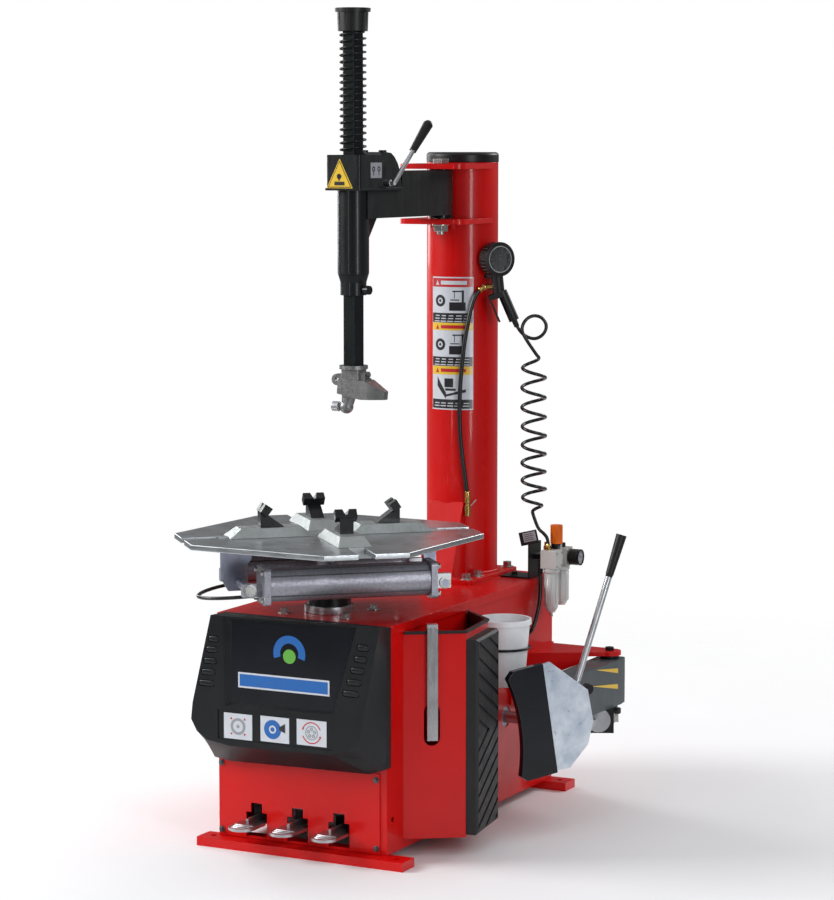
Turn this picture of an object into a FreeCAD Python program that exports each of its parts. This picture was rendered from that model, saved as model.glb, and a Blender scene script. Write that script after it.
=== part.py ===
"""Tyre changer machine: floor-standing cabinet, turntable, swing arm, bead breaker and air fittings.

Millimetres. +X is the operator's right, +Y points to the back of the machine, +Z is up.
The origin is on the floor, at the centre of the four floor anchor holes.
"""
import FreeCAD, Part
import math
import os

V = FreeCAD.Vector
X, Y, Z = V(1, 0, 0), V(0, 1, 0), V(0, 0, 1)

# ---------------------------------------------------------------- driving dimensions
FOOT_LENGTH = 512.0
FOOT_DEPTH = 55.0
FOOT_HEIGHT = 20.0
ANCHOR_SPACING_X = 456.0
ANCHOR_SPACING_Y = 842.0
ANCHOR_HOLE_R = 7.0

CABINET_LEFT = -224.0
CABINET_RIGHT = 201.0
CABINET_FRONT = -412.0
CABINET_BACK = 442.0
CABINET_TOP = 517.0
SHEET = 3.0
LIP = 20.0

TABLE = V(-12, -281.5, 0)
TABLE_TOP = 690.0
TABLE_THICK = 12.0
TABLE_CORNER_R = 340.0
TABLE_TURN = -2.0
SLOT_HALF = 17.0
SHAFT_R = 29.0

CLAMP_CYL_OFFSET = 115.0
CLAMP_CYL_Z = 600.0
CLAMP_CYL_R = 37.0

COLUMN = V(5, 341.5, 0)
COLUMN_R = 84.15
COLUMN_WALL = 6.0
COLUMN_BASE_TOP = 527.0
COLUMN_TOP = 1496.0

PIVOT = V(5, 227.5, 0)
PIVOT_R = 15.0
ARM_LOW = 1375.0
ARM_HIGH = 1478.0
TOOL = V(-21, -150.5, 0)
HEX_FLATS = 44.0
HEX_GAP = 0.4
HEX_LOW = 1050.0
HEX_HIGH = 1830.0
BARREL_R = 35.0
HOUSING_LOW = 1437.0
HOUSING_TOP = 1515.0
SPRING_TURNS = 18
SPRING_WIRE_R = 2.2
SPRING_R = 28.0

PEDAL_X = (-124.0, -21.0, 82.0)
PEDAL_PIVOT = V(0, -320, 78)
PEDAL_SHAFT_R = 8.0

BOX_PLAN = ((198, -334), (311, -257), (287, -98), (198, -17))
BOX_LOW = 40.0
BOX_TOP = 490.0

BUCKET = V(268, 22, 0)
BUCKET_RIM_Z = 477.0
BUCKET_HEIGHT = 150.0

HINGE = V(390, 341.5, 0)
HINGE_R = 12.0
BREAKER_ROD = V(0, 185, 215)
BLADE_EDGE = V(365, -98.5, 262)
BLADE_HEADING = 36.0
BLADE_TILT = 9.0

RUN_FIT = 0.05
GAP = 0.5


# ---------------------------------------------------------------- shape helpers
def box(x0, y0, z0, x1, y1, z1):
    low = V(min(x0, x1), min(y0, y1), min(z0, z1))
    return Part.makeBox(abs(x1 - x0), abs(y1 - y0), abs(z1 - z0), low)


def rod(radius, start, end):
    return Part.makeCylinder(radius, (end - start).Length, start, end - start)


def upright(radius, centre, z0, z1):
    return Part.makeCylinder(radius, z1 - z0, V(centre.x, centre.y, z0), Z)


def pipe(outer, inner, centre, z0, z1):
    return upright(outer, centre, z0, z1).cut(upright(inner, centre, z0 - 1, z1 + 1))


def cone(r0, r1, centre, z0, z1):
    return Part.makeCone(r0, r1, z1 - z0, V(centre.x, centre.y, z0), Z)


def prism(points, direction):
    """A straight extrusion of the closed polygon through 3-D points."""
    wire = Part.makePolygon(list(points) + [points[0]])
    return Part.Face(wire).extrude(direction)


def flat(points, z0, z1):
    """A vertical prism over a plan outline."""
    return prism([V(x, y, z0) for x, y in points], V(0, 0, z1 - z0))


def side(points, x0, x1):
    """A prism along X over an outline in the YZ plane."""
    return prism([V(x0, y, z) for y, z in points], V(x1 - x0, 0, 0))


def front(points, y0, y1):
    """A prism along Y over an outline in the XZ plane."""
    return prism([V(x, y0, z) for x, z in points], V(0, y1 - y0, 0))


def hexagon(flats, centre, z0, z1, turn=0.0):
    radius = flats / math.sqrt(3)
    angles = [math.radians(turn + 60 * i) for i in range(6)]
    return flat([(centre.x + radius * math.cos(a), centre.y + radius * math.sin(a)) for a in angles], z0, z1)


def join(shapes):
    result = shapes[0]
    for shape in shapes[1:]:
        result = result.fuse(shape)
    return result.removeSplitter()


def group(shapes):
    """Separate solids kept side by side in one sub-part."""
    solids = [solid for shape in shapes for solid in shape.Solids]
    return Part.Compound(solids)


def turned(shape, centre, degrees, axis=Z):
    copy = shape.copy()
    copy.rotate(centre, axis, degrees)
    return copy


def moved(shape, offset):
    copy = shape.copy()
    copy.translate(offset)
    return copy


def rounded(shape, radius, picks):
    """Rounds the edges for which picks(edge) is true."""
    edges = [edge for edge in shape.Edges if picks(edge)]
    return shape.makeFillet(radius, edges)


def is_upright(edge):
    ends = [vertex.Point for vertex in edge.Vertexes]
    return len(ends) == 2 and math.hypot(ends[0].x - ends[1].x, ends[0].y - ends[1].y) < 1e-6


def bolt(flats, head, washer_r, seat, up=Z, shank=0.0, shank_r=0.0):
    """A hexagon head on a washer, with its seat at a point, and an optional shank below."""
    parts = [Part.makeCylinder(washer_r, 2.0, V(0, 0, 0), Z), hexagon(flats, V(), 2.0, 2.0 + head)]
    if shank:
        parts.append(Part.makeCylinder(shank_r, shank, V(0, 0, -shank), Z))
    solid = join(parts)
    solid.Placement = FreeCAD.Placement(seat, FreeCAD.Rotation(Z, up))
    return solid


def tangent_path(points):
    """Straight runs joined by tangent arcs, each arc as large as its two runs allow."""
    radii, edges, start = [], [], points[0]
    for before, corner, after in zip(points, points[1:], points[2:]):
        into, out = corner - before, after - corner
        half = into.getAngle(out) / 2
        reach = 0.45 * min(into.Length, out.Length)
        radii.append(reach / math.tan(half))
        into.normalize()
        out.normalize()
        first, last = corner - into * reach, corner + out * reach
        bend = out - into
        bend.normalize()
        middle = corner + bend * (radii[-1] / math.cos(half) - radii[-1])
        edges += [Part.LineSegment(start, first).toShape(), Part.Arc(first, middle, last).toShape()]
        start = last
    edges.append(Part.LineSegment(start, points[-1]).toShape())
    return Part.Wire(edges), radii


def hose(name, points, radius):
    path, radii = tangent_path([V(*p) for p in points])
    along = path.Edges[0].tangentAt(path.Edges[0].FirstParameter)
    section = Part.Wire(Part.Circle(V(*points[0]), along, radius).toShape())
    solid = path.makePipeShell([section], True, True)
    volume = math.pi * radius ** 2 * path.Length
    print(name, "length %.0f" % path.Length, "radii", [round(r) for r in radii],
          "volume ratio %.4f" % (solid.Volume / volume))
    return solid


# ---------------------------------------------------------------- cabinet and base
def floor_feet():
    feet = []
    for sign in (-1, 1):
        centre = sign * ANCHOR_SPACING_Y / 2
        bar = box(-FOOT_LENGTH / 2, centre - FOOT_DEPTH / 2, 0, FOOT_LENGTH / 2, centre + FOOT_DEPTH / 2, FOOT_HEIGHT)
        for side_sign in (-1, 1):
            hole = V(side_sign * ANCHOR_SPACING_X / 2, centre, 0)
            bar = bar.cut(upright(ANCHOR_HOLE_R, hole, -1, FOOT_HEIGHT + 1))
        feet.append(bar)
    return group(feet)


def cabinet_body():
    x0, x1 = CABINET_LEFT + SHEET, CABINET_RIGHT - SHEET
    y0, y1 = CABINET_FRONT + SHEET, CABINET_BACK - SHEET
    top = CABINET_TOP - 4.0
    shell = box(x0, y0, FOOT_HEIGHT, x1, y1, top)
    shell = shell.cut(box(x0 + SHEET, y0 + SHEET, FOOT_HEIGHT - 1, x1 - SHEET, y1 - SHEET, top + 1))
    flange = box(x0, y0, FOOT_HEIGHT, x1, y1, FOOT_HEIGHT + SHEET)
    flange = flange.cut(box(x0 + 40, y0 + 40, 0, x1 - 40, y1 - 40, 60))
    shell = join([shell, flange])
    for x in PEDAL_X:
        shell = shell.cut(box(x - 30, y0 - 5, 26, x + 30, y0 + 20, 108))
    shell = shell.cut(rod(24, V(x1 - 20, BREAKER_ROD.y, BREAKER_ROD.z), V(x1 + 20, BREAKER_ROD.y, BREAKER_ROD.z)))
    shell = shell.cut(rod(9, V(x1 - 20, 300, 385), V(x1 + 20, 300, 385)))
    return shell.cut(rod(6, V(x1 - 20, -382, 94), V(x1 + 20, -382, 94)))


def top_plate():
    outer = box(CABINET_LEFT, CABINET_FRONT, CABINET_TOP - LIP, CABINET_RIGHT, CABINET_BACK, CABINET_TOP)
    outer = rounded(outer, 6.0, is_upright)
    inner = box(CABINET_LEFT + SHEET, CABINET_FRONT + SHEET, CABINET_TOP - LIP - 1,
                CABINET_RIGHT - SHEET, CABINET_BACK - SHEET, CABINET_TOP - 4.0)
    return outer.cut(inner).cut(upright(50, TABLE, 480, 540))


COVER_FRONT = -474.0
COVER_SHOULDER = -430.0
COVER_FACE = ((-200, 523), (216, 529), (163, 268), (100, 243), (-150, 238), (-214, 247), (-238, 264), (-252, 289),
              (-248, 326))
COVER_ROOT = ((-200, 521), (210, 519), (210, 215), (166, 200), (-180, 194), (-219, 199), (-238, 232), (-252, 289),
              (-248, 326))
LOUVRES = ((176, 481, 8), (170, 456, 9), (162, 431, 10), (154, 405, 11), (146, 380, 13),
           (-193, 471, 7), (-198, 447, 8), (-202, 422, 10), (-207, 397, 11), (-212, 372, 13))
LOUVRE_R = 7.5


def outline_at(points, y):
    return [V(x, y, z) for x, z in points]


def loft(first, second):
    wires = [Part.makePolygon(points + points[:1]) for points in (first, second)]
    return Part.makeLoft(wires, True, True)


def front_cover():
    """A thick moulded cover over the top of the cabinet's front, with bevelled sides and a sunk display field."""
    root = front(COVER_ROOT, CABINET_FRONT, COVER_SHOULDER)
    solid = join([root, loft(outline_at(COVER_ROOT, COVER_SHOULDER), outline_at(COVER_FACE, COVER_FRONT))])
    solid = solid.cut(box(-186, COVER_FRONT + 16, 264, 140, CABINET_FRONT + 1, 500))
    rim = outline_at(((-170, 520), (162, 526), (103, 331), (-167, 325)), COVER_FRONT - 0.5)
    field = outline_at(((-153, 516), (154, 522), (100, 336), (-157, 332)), COVER_FRONT + 8)
    solid = solid.cut(loft(rim, field))
    solid = solid.cut(box(-184, COVER_FRONT - 1, 252, 100, COVER_FRONT + 2, 317))
    for x, z, half in LOUVRES:
        slot = join([box(x - half, COVER_FRONT - 1, z - LOUVRE_R, x + half, COVER_FRONT + 5, z + LOUVRE_R)]
                    + [rod(LOUVRE_R, V(x + end, COVER_FRONT - 1, z), V(x + end, COVER_FRONT + 5, z))
                       for end in (-half, half)])
        solid = solid.cut(slot)
    return solid


def pedal_panel():
    panel = box(-219, CABINET_FRONT, 21, 182, CABINET_FRONT + SHEET, 198)
    for x in PEDAL_X:
        panel = panel.cut(box(x - 26, CABINET_FRONT - 5, 22.5, x + 26, CABINET_FRONT + 10, 80))
        panel = panel.cut(box(x - 14, CABINET_FRONT - 5, 79, x + 14, CABINET_FRONT + 10, 101))
    return panel


def fixing_bolts():
    """Hexagon bolts of the column base, the gearbox and the cabinet's panels."""
    bolts = []
    for y in (202, 262, 425):
        for x in (COLUMN.x - 80, COLUMN.x + 80):
            bolts.append(bolt(19, 11, 15, V(x, y, COLUMN_BASE_TOP)))
    for angle in (40, 140, 220, 320):
        spot = TABLE + V(math.cos(math.radians(angle)), math.sin(math.radians(angle)), 0) * 100
        bolts.append(bolt(17, 9, 14, V(spot.x, spot.y, CABINET_TOP)))
    for x, z in ((-212, 184), (174, 184), (-212, 34), (174, 34)):
        bolts.append(bolt(8, 4, 7, V(x, CABINET_FRONT, z), V(0, -1, 0)))
    return group(bolts)


# ---------------------------------------------------------------- pedals
def pedal_frame():
    """Cross shaft of the pedals on two cheeks, with the air valves and reversing switch behind."""
    x0, x1 = PEDAL_X[0] - 45, PEDAL_X[2] + 45
    shaft = rod(PEDAL_SHAFT_R, V(x0 - 6, PEDAL_PIVOT.y, PEDAL_PIVOT.z), V(x1 + 6, PEDAL_PIVOT.y, PEDAL_PIVOT.z))
    pieces = [shaft]
    for x in (x0 - 6, x1):
        pieces.append(box(x, PEDAL_PIVOT.y - 25, FOOT_HEIGHT + SHEET, x + 6, PEDAL_PIVOT.y + 95, 110))
    pieces.append(box(x0 - 6, PEDAL_PIVOT.y + 45, FOOT_HEIGHT + SHEET, x1 + 6, PEDAL_PIVOT.y + 95, 30))
    for x in PEDAL_X:
        pieces.append(box(x - 18, PEDAL_PIVOT.y + 48, 30, x + 18, PEDAL_PIVOT.y + 90, 56))
    return join(pieces)


def pedal(x):
    """Round-nosed foot plate on a flat lever that turns on the cross shaft."""
    y_front = CABINET_FRONT - 92
    pad = box(x - 30, y_front + 30, 57, x + 30, CABINET_FRONT - 12, 63)
    nose = upright(30, V(x, y_front + 30, 0), 57, 63)
    stem = box(x - 11, CABINET_FRONT - 16, 57, x + 11, PEDAL_PIVOT.y + 20, 63)
    web = box(x - 3, CABINET_FRONT - 40, 50, x + 3, PEDAL_PIVOT.y + 30, 75)
    boss = rod(15, V(x - 14, PEDAL_PIVOT.y, PEDAL_PIVOT.z), V(x + 14, PEDAL_PIVOT.y, PEDAL_PIVOT.z))
    solid = join([pad, nose, stem, web, boss])
    bore = rod(PEDAL_SHAFT_R + RUN_FIT, V(x - 60, PEDAL_PIVOT.y, PEDAL_PIVOT.z), V(x + 60, PEDAL_PIVOT.y, PEDAL_PIVOT.z))
    return solid.cut(bore)


# ---------------------------------------------------------------- drive
WHEEL_Z = 440.0
WORM_Y = TABLE.y + 104
MOTOR_Z = 200.0
PULLEY_X = 120.0
WORM_PULLEY_R = 62.0
MOTOR_PULLEY_R = 28.0
BELT_THICK = 8.0


def gearbox_housing():
    x, y = TABLE.x, TABLE.y
    case = box(x - 108, y - 100, 390, x + 108, y + 146, CABINET_TOP - 4)
    room = box(x - 96, y - 90, 402, x + 96, y + 134, CABINET_TOP - 16)
    case = case.cut(room)
    case = case.cut(upright(SHAFT_R + RUN_FIT, TABLE, 380, 530))
    axle = V(0, WORM_Y, WHEEL_Z)
    return case.cut(rod(14 + RUN_FIT, axle + X * -130, axle + X * 130))


def shaft_flange():
    """Steel bearing flange on the top plate, with the rotating air joint's ring on it."""
    ring = pipe(55, SHAFT_R + GAP, TABLE, CABINET_TOP, CABINET_TOP + 17)
    spigot = pipe(49.5, SHAFT_R + GAP, TABLE, CABINET_TOP - 4, CABINET_TOP)
    collar = pipe(48, SHAFT_R + GAP, TABLE, CABINET_TOP + 17, CABINET_TOP + 40)
    return join([ring, spigot, collar])


def table_shaft():
    """Upright drive shaft with the worm wheel near its foot and the table flange at its top."""
    shaft = upright(SHAFT_R, TABLE, 386, 668)
    wheel = upright(82, TABLE, WHEEL_Z - 16, WHEEL_Z + 16)
    flange = upright(70, TABLE, 662, TABLE_TOP - TABLE_THICK)
    return join([shaft, wheel, flange])


def worm_shaft():
    axle = V(0, WORM_Y, WHEEL_Z)
    shaft = rod(14, axle + X * -118, axle + X * (PULLEY_X + 14))
    worm = rod(21.5, axle + X * -50, axle + X * 30)
    pulley = rod(WORM_PULLEY_R, axle + X * (PULLEY_X - 10), axle + X * (PULLEY_X + 10))
    return join([shaft, worm, pulley])


def motor():
    """Motor can with feet, on a hanging cradle, below the gearbox."""
    axle = V(0, WORM_Y, MOTOR_Z)
    can = rod(62, axle + X * -120, axle + X * 96)
    can = can.cut(rod(9 + RUN_FIT, axle + X * 40, axle + X * 100))
    feet = box(-100, WORM_Y - 62, MOTOR_Z - 72, 80, WORM_Y + 62, MOTOR_Z - 50)
    rails = box(-112, WORM_Y - 44, FOOT_HEIGHT + SHEET, -92, WORM_Y + 70, MOTOR_Z - 60)
    return join([can, feet, rails, moved(rails, X * 160)])


def motor_pulley():
    axle = V(0, WORM_Y, MOTOR_Z)
    shaft = rod(9, axle + X * 42, axle + X * (PULLEY_X + 12))
    return join([shaft, rod(MOTOR_PULLEY_R, axle + X * (PULLEY_X - 10), axle + X * (PULLEY_X + 10))])


def belt_loop(extra):
    """Outline solid of a belt round both pulleys, offset outward by extra."""
    x0, x1 = PULLEY_X - 7, PULLEY_X + 7
    big, small = WORM_PULLEY_R + extra, MOTOR_PULLEY_R + extra
    high, low = V(x0, WORM_Y, WHEEL_Z), V(x0, WORM_Y, MOTOR_Z)
    slope = math.asin((big - small) / (WHEEL_Z - MOTOR_Z))
    c, s = math.cos(slope), math.sin(slope)
    sides = [V(x0, WORM_Y + k * c * r, z - s * r) for k, r, z in
             ((1, big, WHEEL_Z), (1, small, MOTOR_Z), (-1, small, MOTOR_Z), (-1, big, WHEEL_Z))]
    body = prism(sides, V(x1 - x0, 0, 0))
    return join([body, rod(big, high, high + X * (x1 - x0)), rod(small, low, low + X * (x1 - x0))])


def drive_belt():
    return belt_loop(GAP + BELT_THICK).cut(belt_loop(GAP))


# ---------------------------------------------------------------- turntable
def table_angle(index):
    """Direction of a clamp slide: 0 is the right-hand one seen from the front, then round."""
    return 45.0 + TABLE_TURN + 90.0 * index


def out_from_table(index):
    angle = math.radians(table_angle(index))
    return V(math.cos(angle), math.sin(angle), 0)


def turntable_plate():
    corners = []
    for index in range(4):
        for swing in (-16, 16):
            angle = math.radians(table_angle(index) + swing)
            corners.append((TABLE.x + TABLE_CORNER_R * math.cos(angle), TABLE.y + TABLE_CORNER_R * math.sin(angle)))
    plate = flat(corners, TABLE_TOP - TABLE_THICK, TABLE_TOP)
    for index in range(4):
        slot = box(78, -SLOT_HALF, TABLE_TOP - 20, 360, SLOT_HALF, TABLE_TOP + 20)
        plate = plate.cut(turned(moved(slot, TABLE), TABLE, table_angle(index)))
    return plate


def slide_shapes():
    """One clamp slide on +X: bevelled body on the table, tongue in the slot, keeper below, claw on top."""
    low, high = TABLE_TOP + GAP, TABLE_TOP + 20
    profile = side([(-37, low), (37, low), (26, high), (-26, high)], 42, 228)
    ends = front([(42, low), (228, low), (202, high), (66, high)], -60, 60)
    body = profile.common(ends)
    tongue = box(100, -SLOT_HALF + GAP, TABLE_TOP - TABLE_THICK - GAP, 246, SLOT_HALF - GAP, low + 1)
    keeper = box(100, -34, TABLE_TOP - TABLE_THICK - GAP - 9, 246, 34, TABLE_TOP - TABLE_THICK - GAP)
    body = join([body, tongue, keeper])
    claw = front([(103, high), (157, high), (157, high + 37), (142, high + 28)], -15, 15)
    head = front([(158, high + 35), (144, high + 24), (131, high + 41), (147, high + 52)], -24, 24)
    notch = prism([V(120, -11, high + 60), V(120, 11, high + 60), V(120, 0, high + 36)], X * 60)
    return body, join([claw, head.cut(notch)])


def clamp_slide(index):
    body, claw = slide_shapes()
    shapes = [body, claw]
    if index in (0, 2):
        shapes[0] = join([body, slide_fin(index)])
    return group([turned(moved(shape, TABLE), TABLE, table_angle(index)) for shape in shapes])


FIN_PIN_REACH = {0: 228.0, 2: 205.0}


def slide_fin(index):
    """Bracket below a slide of the driven pair, with the cross pin that the air cylinders pull on."""
    reach = FIN_PIN_REACH[index]
    top = TABLE_TOP - TABLE_THICK - GAP - 5
    if index == 0:
        outline = [(reach - 14, top), (243, top), (243, 600), (238, 574), (reach - 10, 574), (reach - 14, 600)]
    else:
        outline = [(reach - 30, top), (243, top), (243, 600), (227, 572), (reach - 20, 572), (reach - 12, 620),
                   (reach - 30, 640)]
    fin = front(outline, -5, 5)
    pin = rod(8, V(reach, -CLAMP_CYL_OFFSET - 14, 590), V(reach, CLAMP_CYL_OFFSET + 14, 590))
    return join([fin, pin])


def along_table(shape):
    return turned(moved(shape, TABLE), TABLE, table_angle(0))


def clamp_barrels():
    """The two air cylinders under the table; their closed ends hang on the left slide's cross pin."""
    barrels = []
    for sign in (-1, 1):
        y = sign * CLAMP_CYL_OFFSET
        tube = rod(CLAMP_CYL_R, V(-166, y, CLAMP_CYL_Z), V(190, y, CLAMP_CYL_Z))
        cap = box(-180, y - 40, CLAMP_CYL_Z - 40, -166, y + 40, CLAMP_CYL_Z + 40)
        caps = [rounded(cap, 9, lambda e: e.BoundBox.XLength > 13 and e.BoundBox.YLength < 0.1
                        and e.BoundBox.ZLength < 0.1)]
        caps.append(moved(caps[0], X * 370))
        lug = box(-221, y - 9, 576, -180, y + 9, 604).cut(rod(8 + RUN_FIT, V(-205, y - 20, 590), V(-205, y + 20, 590)))
        solid = join([tube] + caps + [lug])
        solid = solid.cut(rod(CLAMP_CYL_R - 4, V(-150, y, CLAMP_CYL_Z), V(184, y, CLAMP_CYL_Z)))
        solid = solid.cut(rod(10 + RUN_FIT, V(180, y, CLAMP_CYL_Z), V(210, y, CLAMP_CYL_Z)))
        barrels.append(along_table(solid))
    return group(barrels)


def clamp_rods():
    rods = []
    for sign in (-1, 1):
        y = sign * CLAMP_CYL_OFFSET
        stem = rod(10, V(0, y, CLAMP_CYL_Z), V(214, y, CLAMP_CYL_Z))
        piston = rod(CLAMP_CYL_R - 4 - RUN_FIT, V(-20, y, CLAMP_CYL_Z), V(0, y, CLAMP_CYL_Z))
        eye = box(208, y - 10, 578, 242, y + 10, 610)
        solid = join([stem, piston, eye])
        rods.append(along_table(solid.cut(rod(8 + RUN_FIT, V(228, y - 30, 590), V(228, y + 30, 590)))))
    return group(rods)


CLAMP_HOSE_R = 4.0


def table_point(reach, across, height):
    """A point given by its reach towards the right-hand slide, its offset across, and its height."""
    along = out_from_table(0)
    return TABLE + along * reach + V(along.y, -along.x, 0) * across + Z * height


def clamp_hoses():
    """Air hoses between the two cylinders' ports: one loop past each end."""
    left = [(-181, -92, 574), (-215, -88, 571), (-262, -60, 566), (-292, -20, 562),
            (-292, 20, 562), (-262, 60, 566), (-215, 88, 571), (-181, 92, 574)]
    return group([hose("clamp_hoses", [tuple(table_point(*p)) for p in left], CLAMP_HOSE_R)])


# ---------------------------------------------------------------- column and swing arm
def column():
    return pipe(COLUMN_R, COLUMN_R - COLUMN_WALL, COLUMN, COLUMN_BASE_TOP, COLUMN_TOP)


def column_base():
    plate = box(COLUMN.x - 102, 180, CABINET_TOP, COLUMN.x + 102, 440, COLUMN_BASE_TOP)
    plate = rounded(plate, 12, is_upright)
    gusset = side([(342, COLUMN_BASE_TOP), (195, COLUMN_BASE_TOP), (259, 700), (342, 700)], COLUMN.x - 44, COLUMN.x + 44)
    gusset = gusset.cut(upright(COLUMN_R, COLUMN, 500, 800))
    gusset = gusset.common(box(-200, 100, 500, 200, 300, 800))
    return join([plate, gusset])


def column_cap():
    skirt = upright(COLUMN_R - COLUMN_WALL - 0.2, COLUMN, COLUMN_TOP - 30, COLUMN_TOP)
    dome = rounded(upright(COLUMN_R + 1, COLUMN, COLUMN_TOP, COLUMN_TOP + 23), 8,
                   lambda e: abs(e.BoundBox.ZMin - COLUMN_TOP - 23) < 0.01)
    return join([skirt, dome])


def hinge_plates():
    plates = []
    for low in (ARM_LOW - 21, ARM_HIGH + 3):
        plate = rounded(box(PIVOT.x - 84, PIVOT.y - 62, low, PIVOT.x + 84, COLUMN.y, low + 12), 25,
                        lambda e: is_upright(e) and e.BoundBox.YMax < PIVOT.y)
        plate = plate.cut(upright(COLUMN_R + RUN_FIT, COLUMN, low - 1, low + 13))
        plates.append(plate.cut(upright(PIVOT_R + RUN_FIT, PIVOT, low - 1, low + 13)))
    return group(plates)


def hinge_pin():
    shank = upright(PIVOT_R, PIVOT, ARM_LOW - 22, ARM_HIGH + 16)
    head = hexagon(36, PIVOT, ARM_HIGH + 15, ARM_HIGH + 26)
    washer = upright(21, PIVOT, ARM_LOW - 25, ARM_LOW - 21)
    nut = join([hexagon(32, PIVOT, ARM_LOW - 39, ARM_LOW - 24), upright(9, PIVOT, ARM_LOW - 46, ARM_LOW - 38)])
    return join([shank, head, washer, nut])


def tool_direction():
    along = TOOL - PIVOT
    along.normalize()
    return along


def arm_point(reach, across, height):
    """A point on the swing arm: distance from the pivot, offset across, and height."""
    along = tool_direction()
    return PIVOT + along * reach + V(-along.y, along.x, 0) * across + Z * height


ARM_REACH = (TOOL - PIVOT).Length


def arm_prism(outline, across0, across1):
    """A prism across the arm over an outline of (reach, height) points."""
    start = [arm_point(reach, across0, height) for reach, height in outline]
    return prism(start, arm_point(0, across1, 0) - arm_point(0, across0, 0))


def swing_arm():
    """Box beam from the pivot sleeve to the guide barrel of the hexagon shaft."""
    sleeve = upright(28, PIVOT, ARM_LOW - 8, ARM_HIGH + 2)
    step = ARM_REACH - LOCK_BEHIND
    beam = arm_prism([(0, ARM_LOW), (ARM_REACH, ARM_LOW), (ARM_REACH, HOUSING_LOW), (step, HOUSING_LOW),
                      (step, ARM_HIGH), (0, ARM_HIGH)], -38, 38)
    taper = [arm_point(r, a, 0) for r, a in ((0, -28), (45, -38), (ARM_REACH, -38), (ARM_REACH, 38), (45, 38), (0, 28))]
    beam = beam.common(flat([(p.x, p.y) for p in taper], ARM_LOW, ARM_HIGH))
    gusset = arm_prism([(ARM_REACH - 80, ARM_LOW), (ARM_REACH, ARM_LOW), (ARM_REACH, ARM_LOW - 70),
                        (ARM_REACH - 34, ARM_LOW - 60)], -12, 12)
    barrel = join([upright(BARREL_R, TOOL, 1255, HOUSING_LOW), cone(28.5, BARREL_R, TOOL, 1233, 1255),
                   upright(29, TOOL, 1206, 1234)])
    knob = join([rod(5, TOOL + V(27, -5, 1218), TOOL + V(38, -8, 1218)),
                 rod(10, TOOL + V(33, -7, 1218), TOOL + V(46, -10, 1218))])
    solid = join([sleeve, beam, gusset, barrel, knob])
    solid = solid.cut(upright(PIVOT_R + RUN_FIT, PIVOT, 1300, 1500))
    return solid.cut(hexagon(HEX_FLATS + 2 * HEX_GAP, TOOL, 1190, 1460))


LOCK_BEHIND = 145.0
LEVER_REACH = ARM_REACH - 78
LEVER_Z = 1452.0
LEVER_OUT = 58.0
LOCK_CHEEK = ((-40, HOUSING_LOW + 4), (-40, 1515), (62, 1515), (75, 1521), (98, 1519), (113, 1510), (127, 1495),
              (136, 1478), (143, 1443), (143, HOUSING_LOW + 4))


def lock_housing():
    """Clamp housing on the barrel: foot plate, front block, and a domed cheek over the lever's cam."""
    tip, rear = ARM_REACH + 44, ARM_REACH - LOCK_BEHIND + 1
    foot = rounded(arm_prism([(tip + 3, HOUSING_LOW), (tip + 3, HOUSING_LOW + 5), (rear, HOUSING_LOW + 5),
                              (rear, HOUSING_LOW)], -47, 47), 8, is_upright)
    block = rounded(arm_prism([(tip, HOUSING_LOW), (tip, HOUSING_TOP), (ARM_REACH - 60, HOUSING_TOP),
                               (ARM_REACH - 60, HOUSING_LOW)], -44, 44), 8, is_upright)
    cheek = arm_prism([(ARM_REACH - behind, height) for behind, height in LOCK_CHEEK], -38, 38)
    knobs = [upright(9, arm_point(ARM_REACH - 84, across, 0), 1510, 1525) for across in (-24, 24)]
    solid = join([foot, block, cheek] + knobs)
    solid = solid.cut(hexagon(HEX_FLATS + 2 * HEX_GAP, TOOL, 1400, 1560))
    return solid.cut(rod(7 + RUN_FIT, arm_point(LEVER_REACH, -12, LEVER_Z), arm_point(LEVER_REACH, 60, LEVER_Z)))


def lock_lever():
    """Cam spindle across the housing, a bright rod bent up and back out of its right side, and a black grip."""
    spindle = rod(7, arm_point(LEVER_REACH, -12, LEVER_Z), arm_point(LEVER_REACH, 50, LEVER_Z))
    elbow = arm_point(LEVER_REACH, LEVER_OUT, LEVER_Z)
    neck = rod(5.5, arm_point(LEVER_REACH, 48, LEVER_Z), elbow)
    rise = arm_point(LEVER_REACH - 111, LEVER_OUT + 25, LEVER_Z + 135.8) - elbow
    rise.normalize()
    stick = rod(5.5, elbow, elbow + rise * 95)
    grip = Part.makeCone(8, 11.5, 78, elbow + rise * 92, rise)
    tip = Part.makeCone(11.5, 7, 7, elbow + rise * 170, rise)
    return join([spindle, neck, Part.makeSphere(5.5, elbow), stick, grip, tip])


def hex_shaft():
    return hexagon(HEX_FLATS, TOOL, HEX_LOW, HEX_HIGH)


def return_spring():
    """Helical spring between the lock housing and the shaft's cap."""
    low, high = HOUSING_TOP + SPRING_WIRE_R + 0.3, 1785 - SPRING_WIRE_R - 0.3
    helix = Part.makeHelix((high - low) / SPRING_TURNS, high - low, SPRING_R)
    helix.translate(V(TOOL.x, TOOL.y, low))
    first = helix.Edges[0]
    start, along = first.valueAt(first.FirstParameter), first.tangentAt(first.FirstParameter)
    section = Part.Wire(Part.Circle(start, along, SPRING_WIRE_R).toShape())
    return helix.makePipeShell([section], True, True)


def shaft_cap():
    body = cone(33, 34.5, TOOL, 1785, 1827)
    lid = cone(39, 39.5, TOOL, 1827, 1835)
    solid = join([body, lid])
    for index in range(12):
        angle = math.radians(30 * index)
        solid = solid.cut(upright(2.6, TOOL + V(math.cos(angle), math.sin(angle), 0) * 35, 1796, 1824))
    return solid.cut(hexagon(HEX_FLATS, TOOL, 1780, HEX_HIGH))


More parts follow.
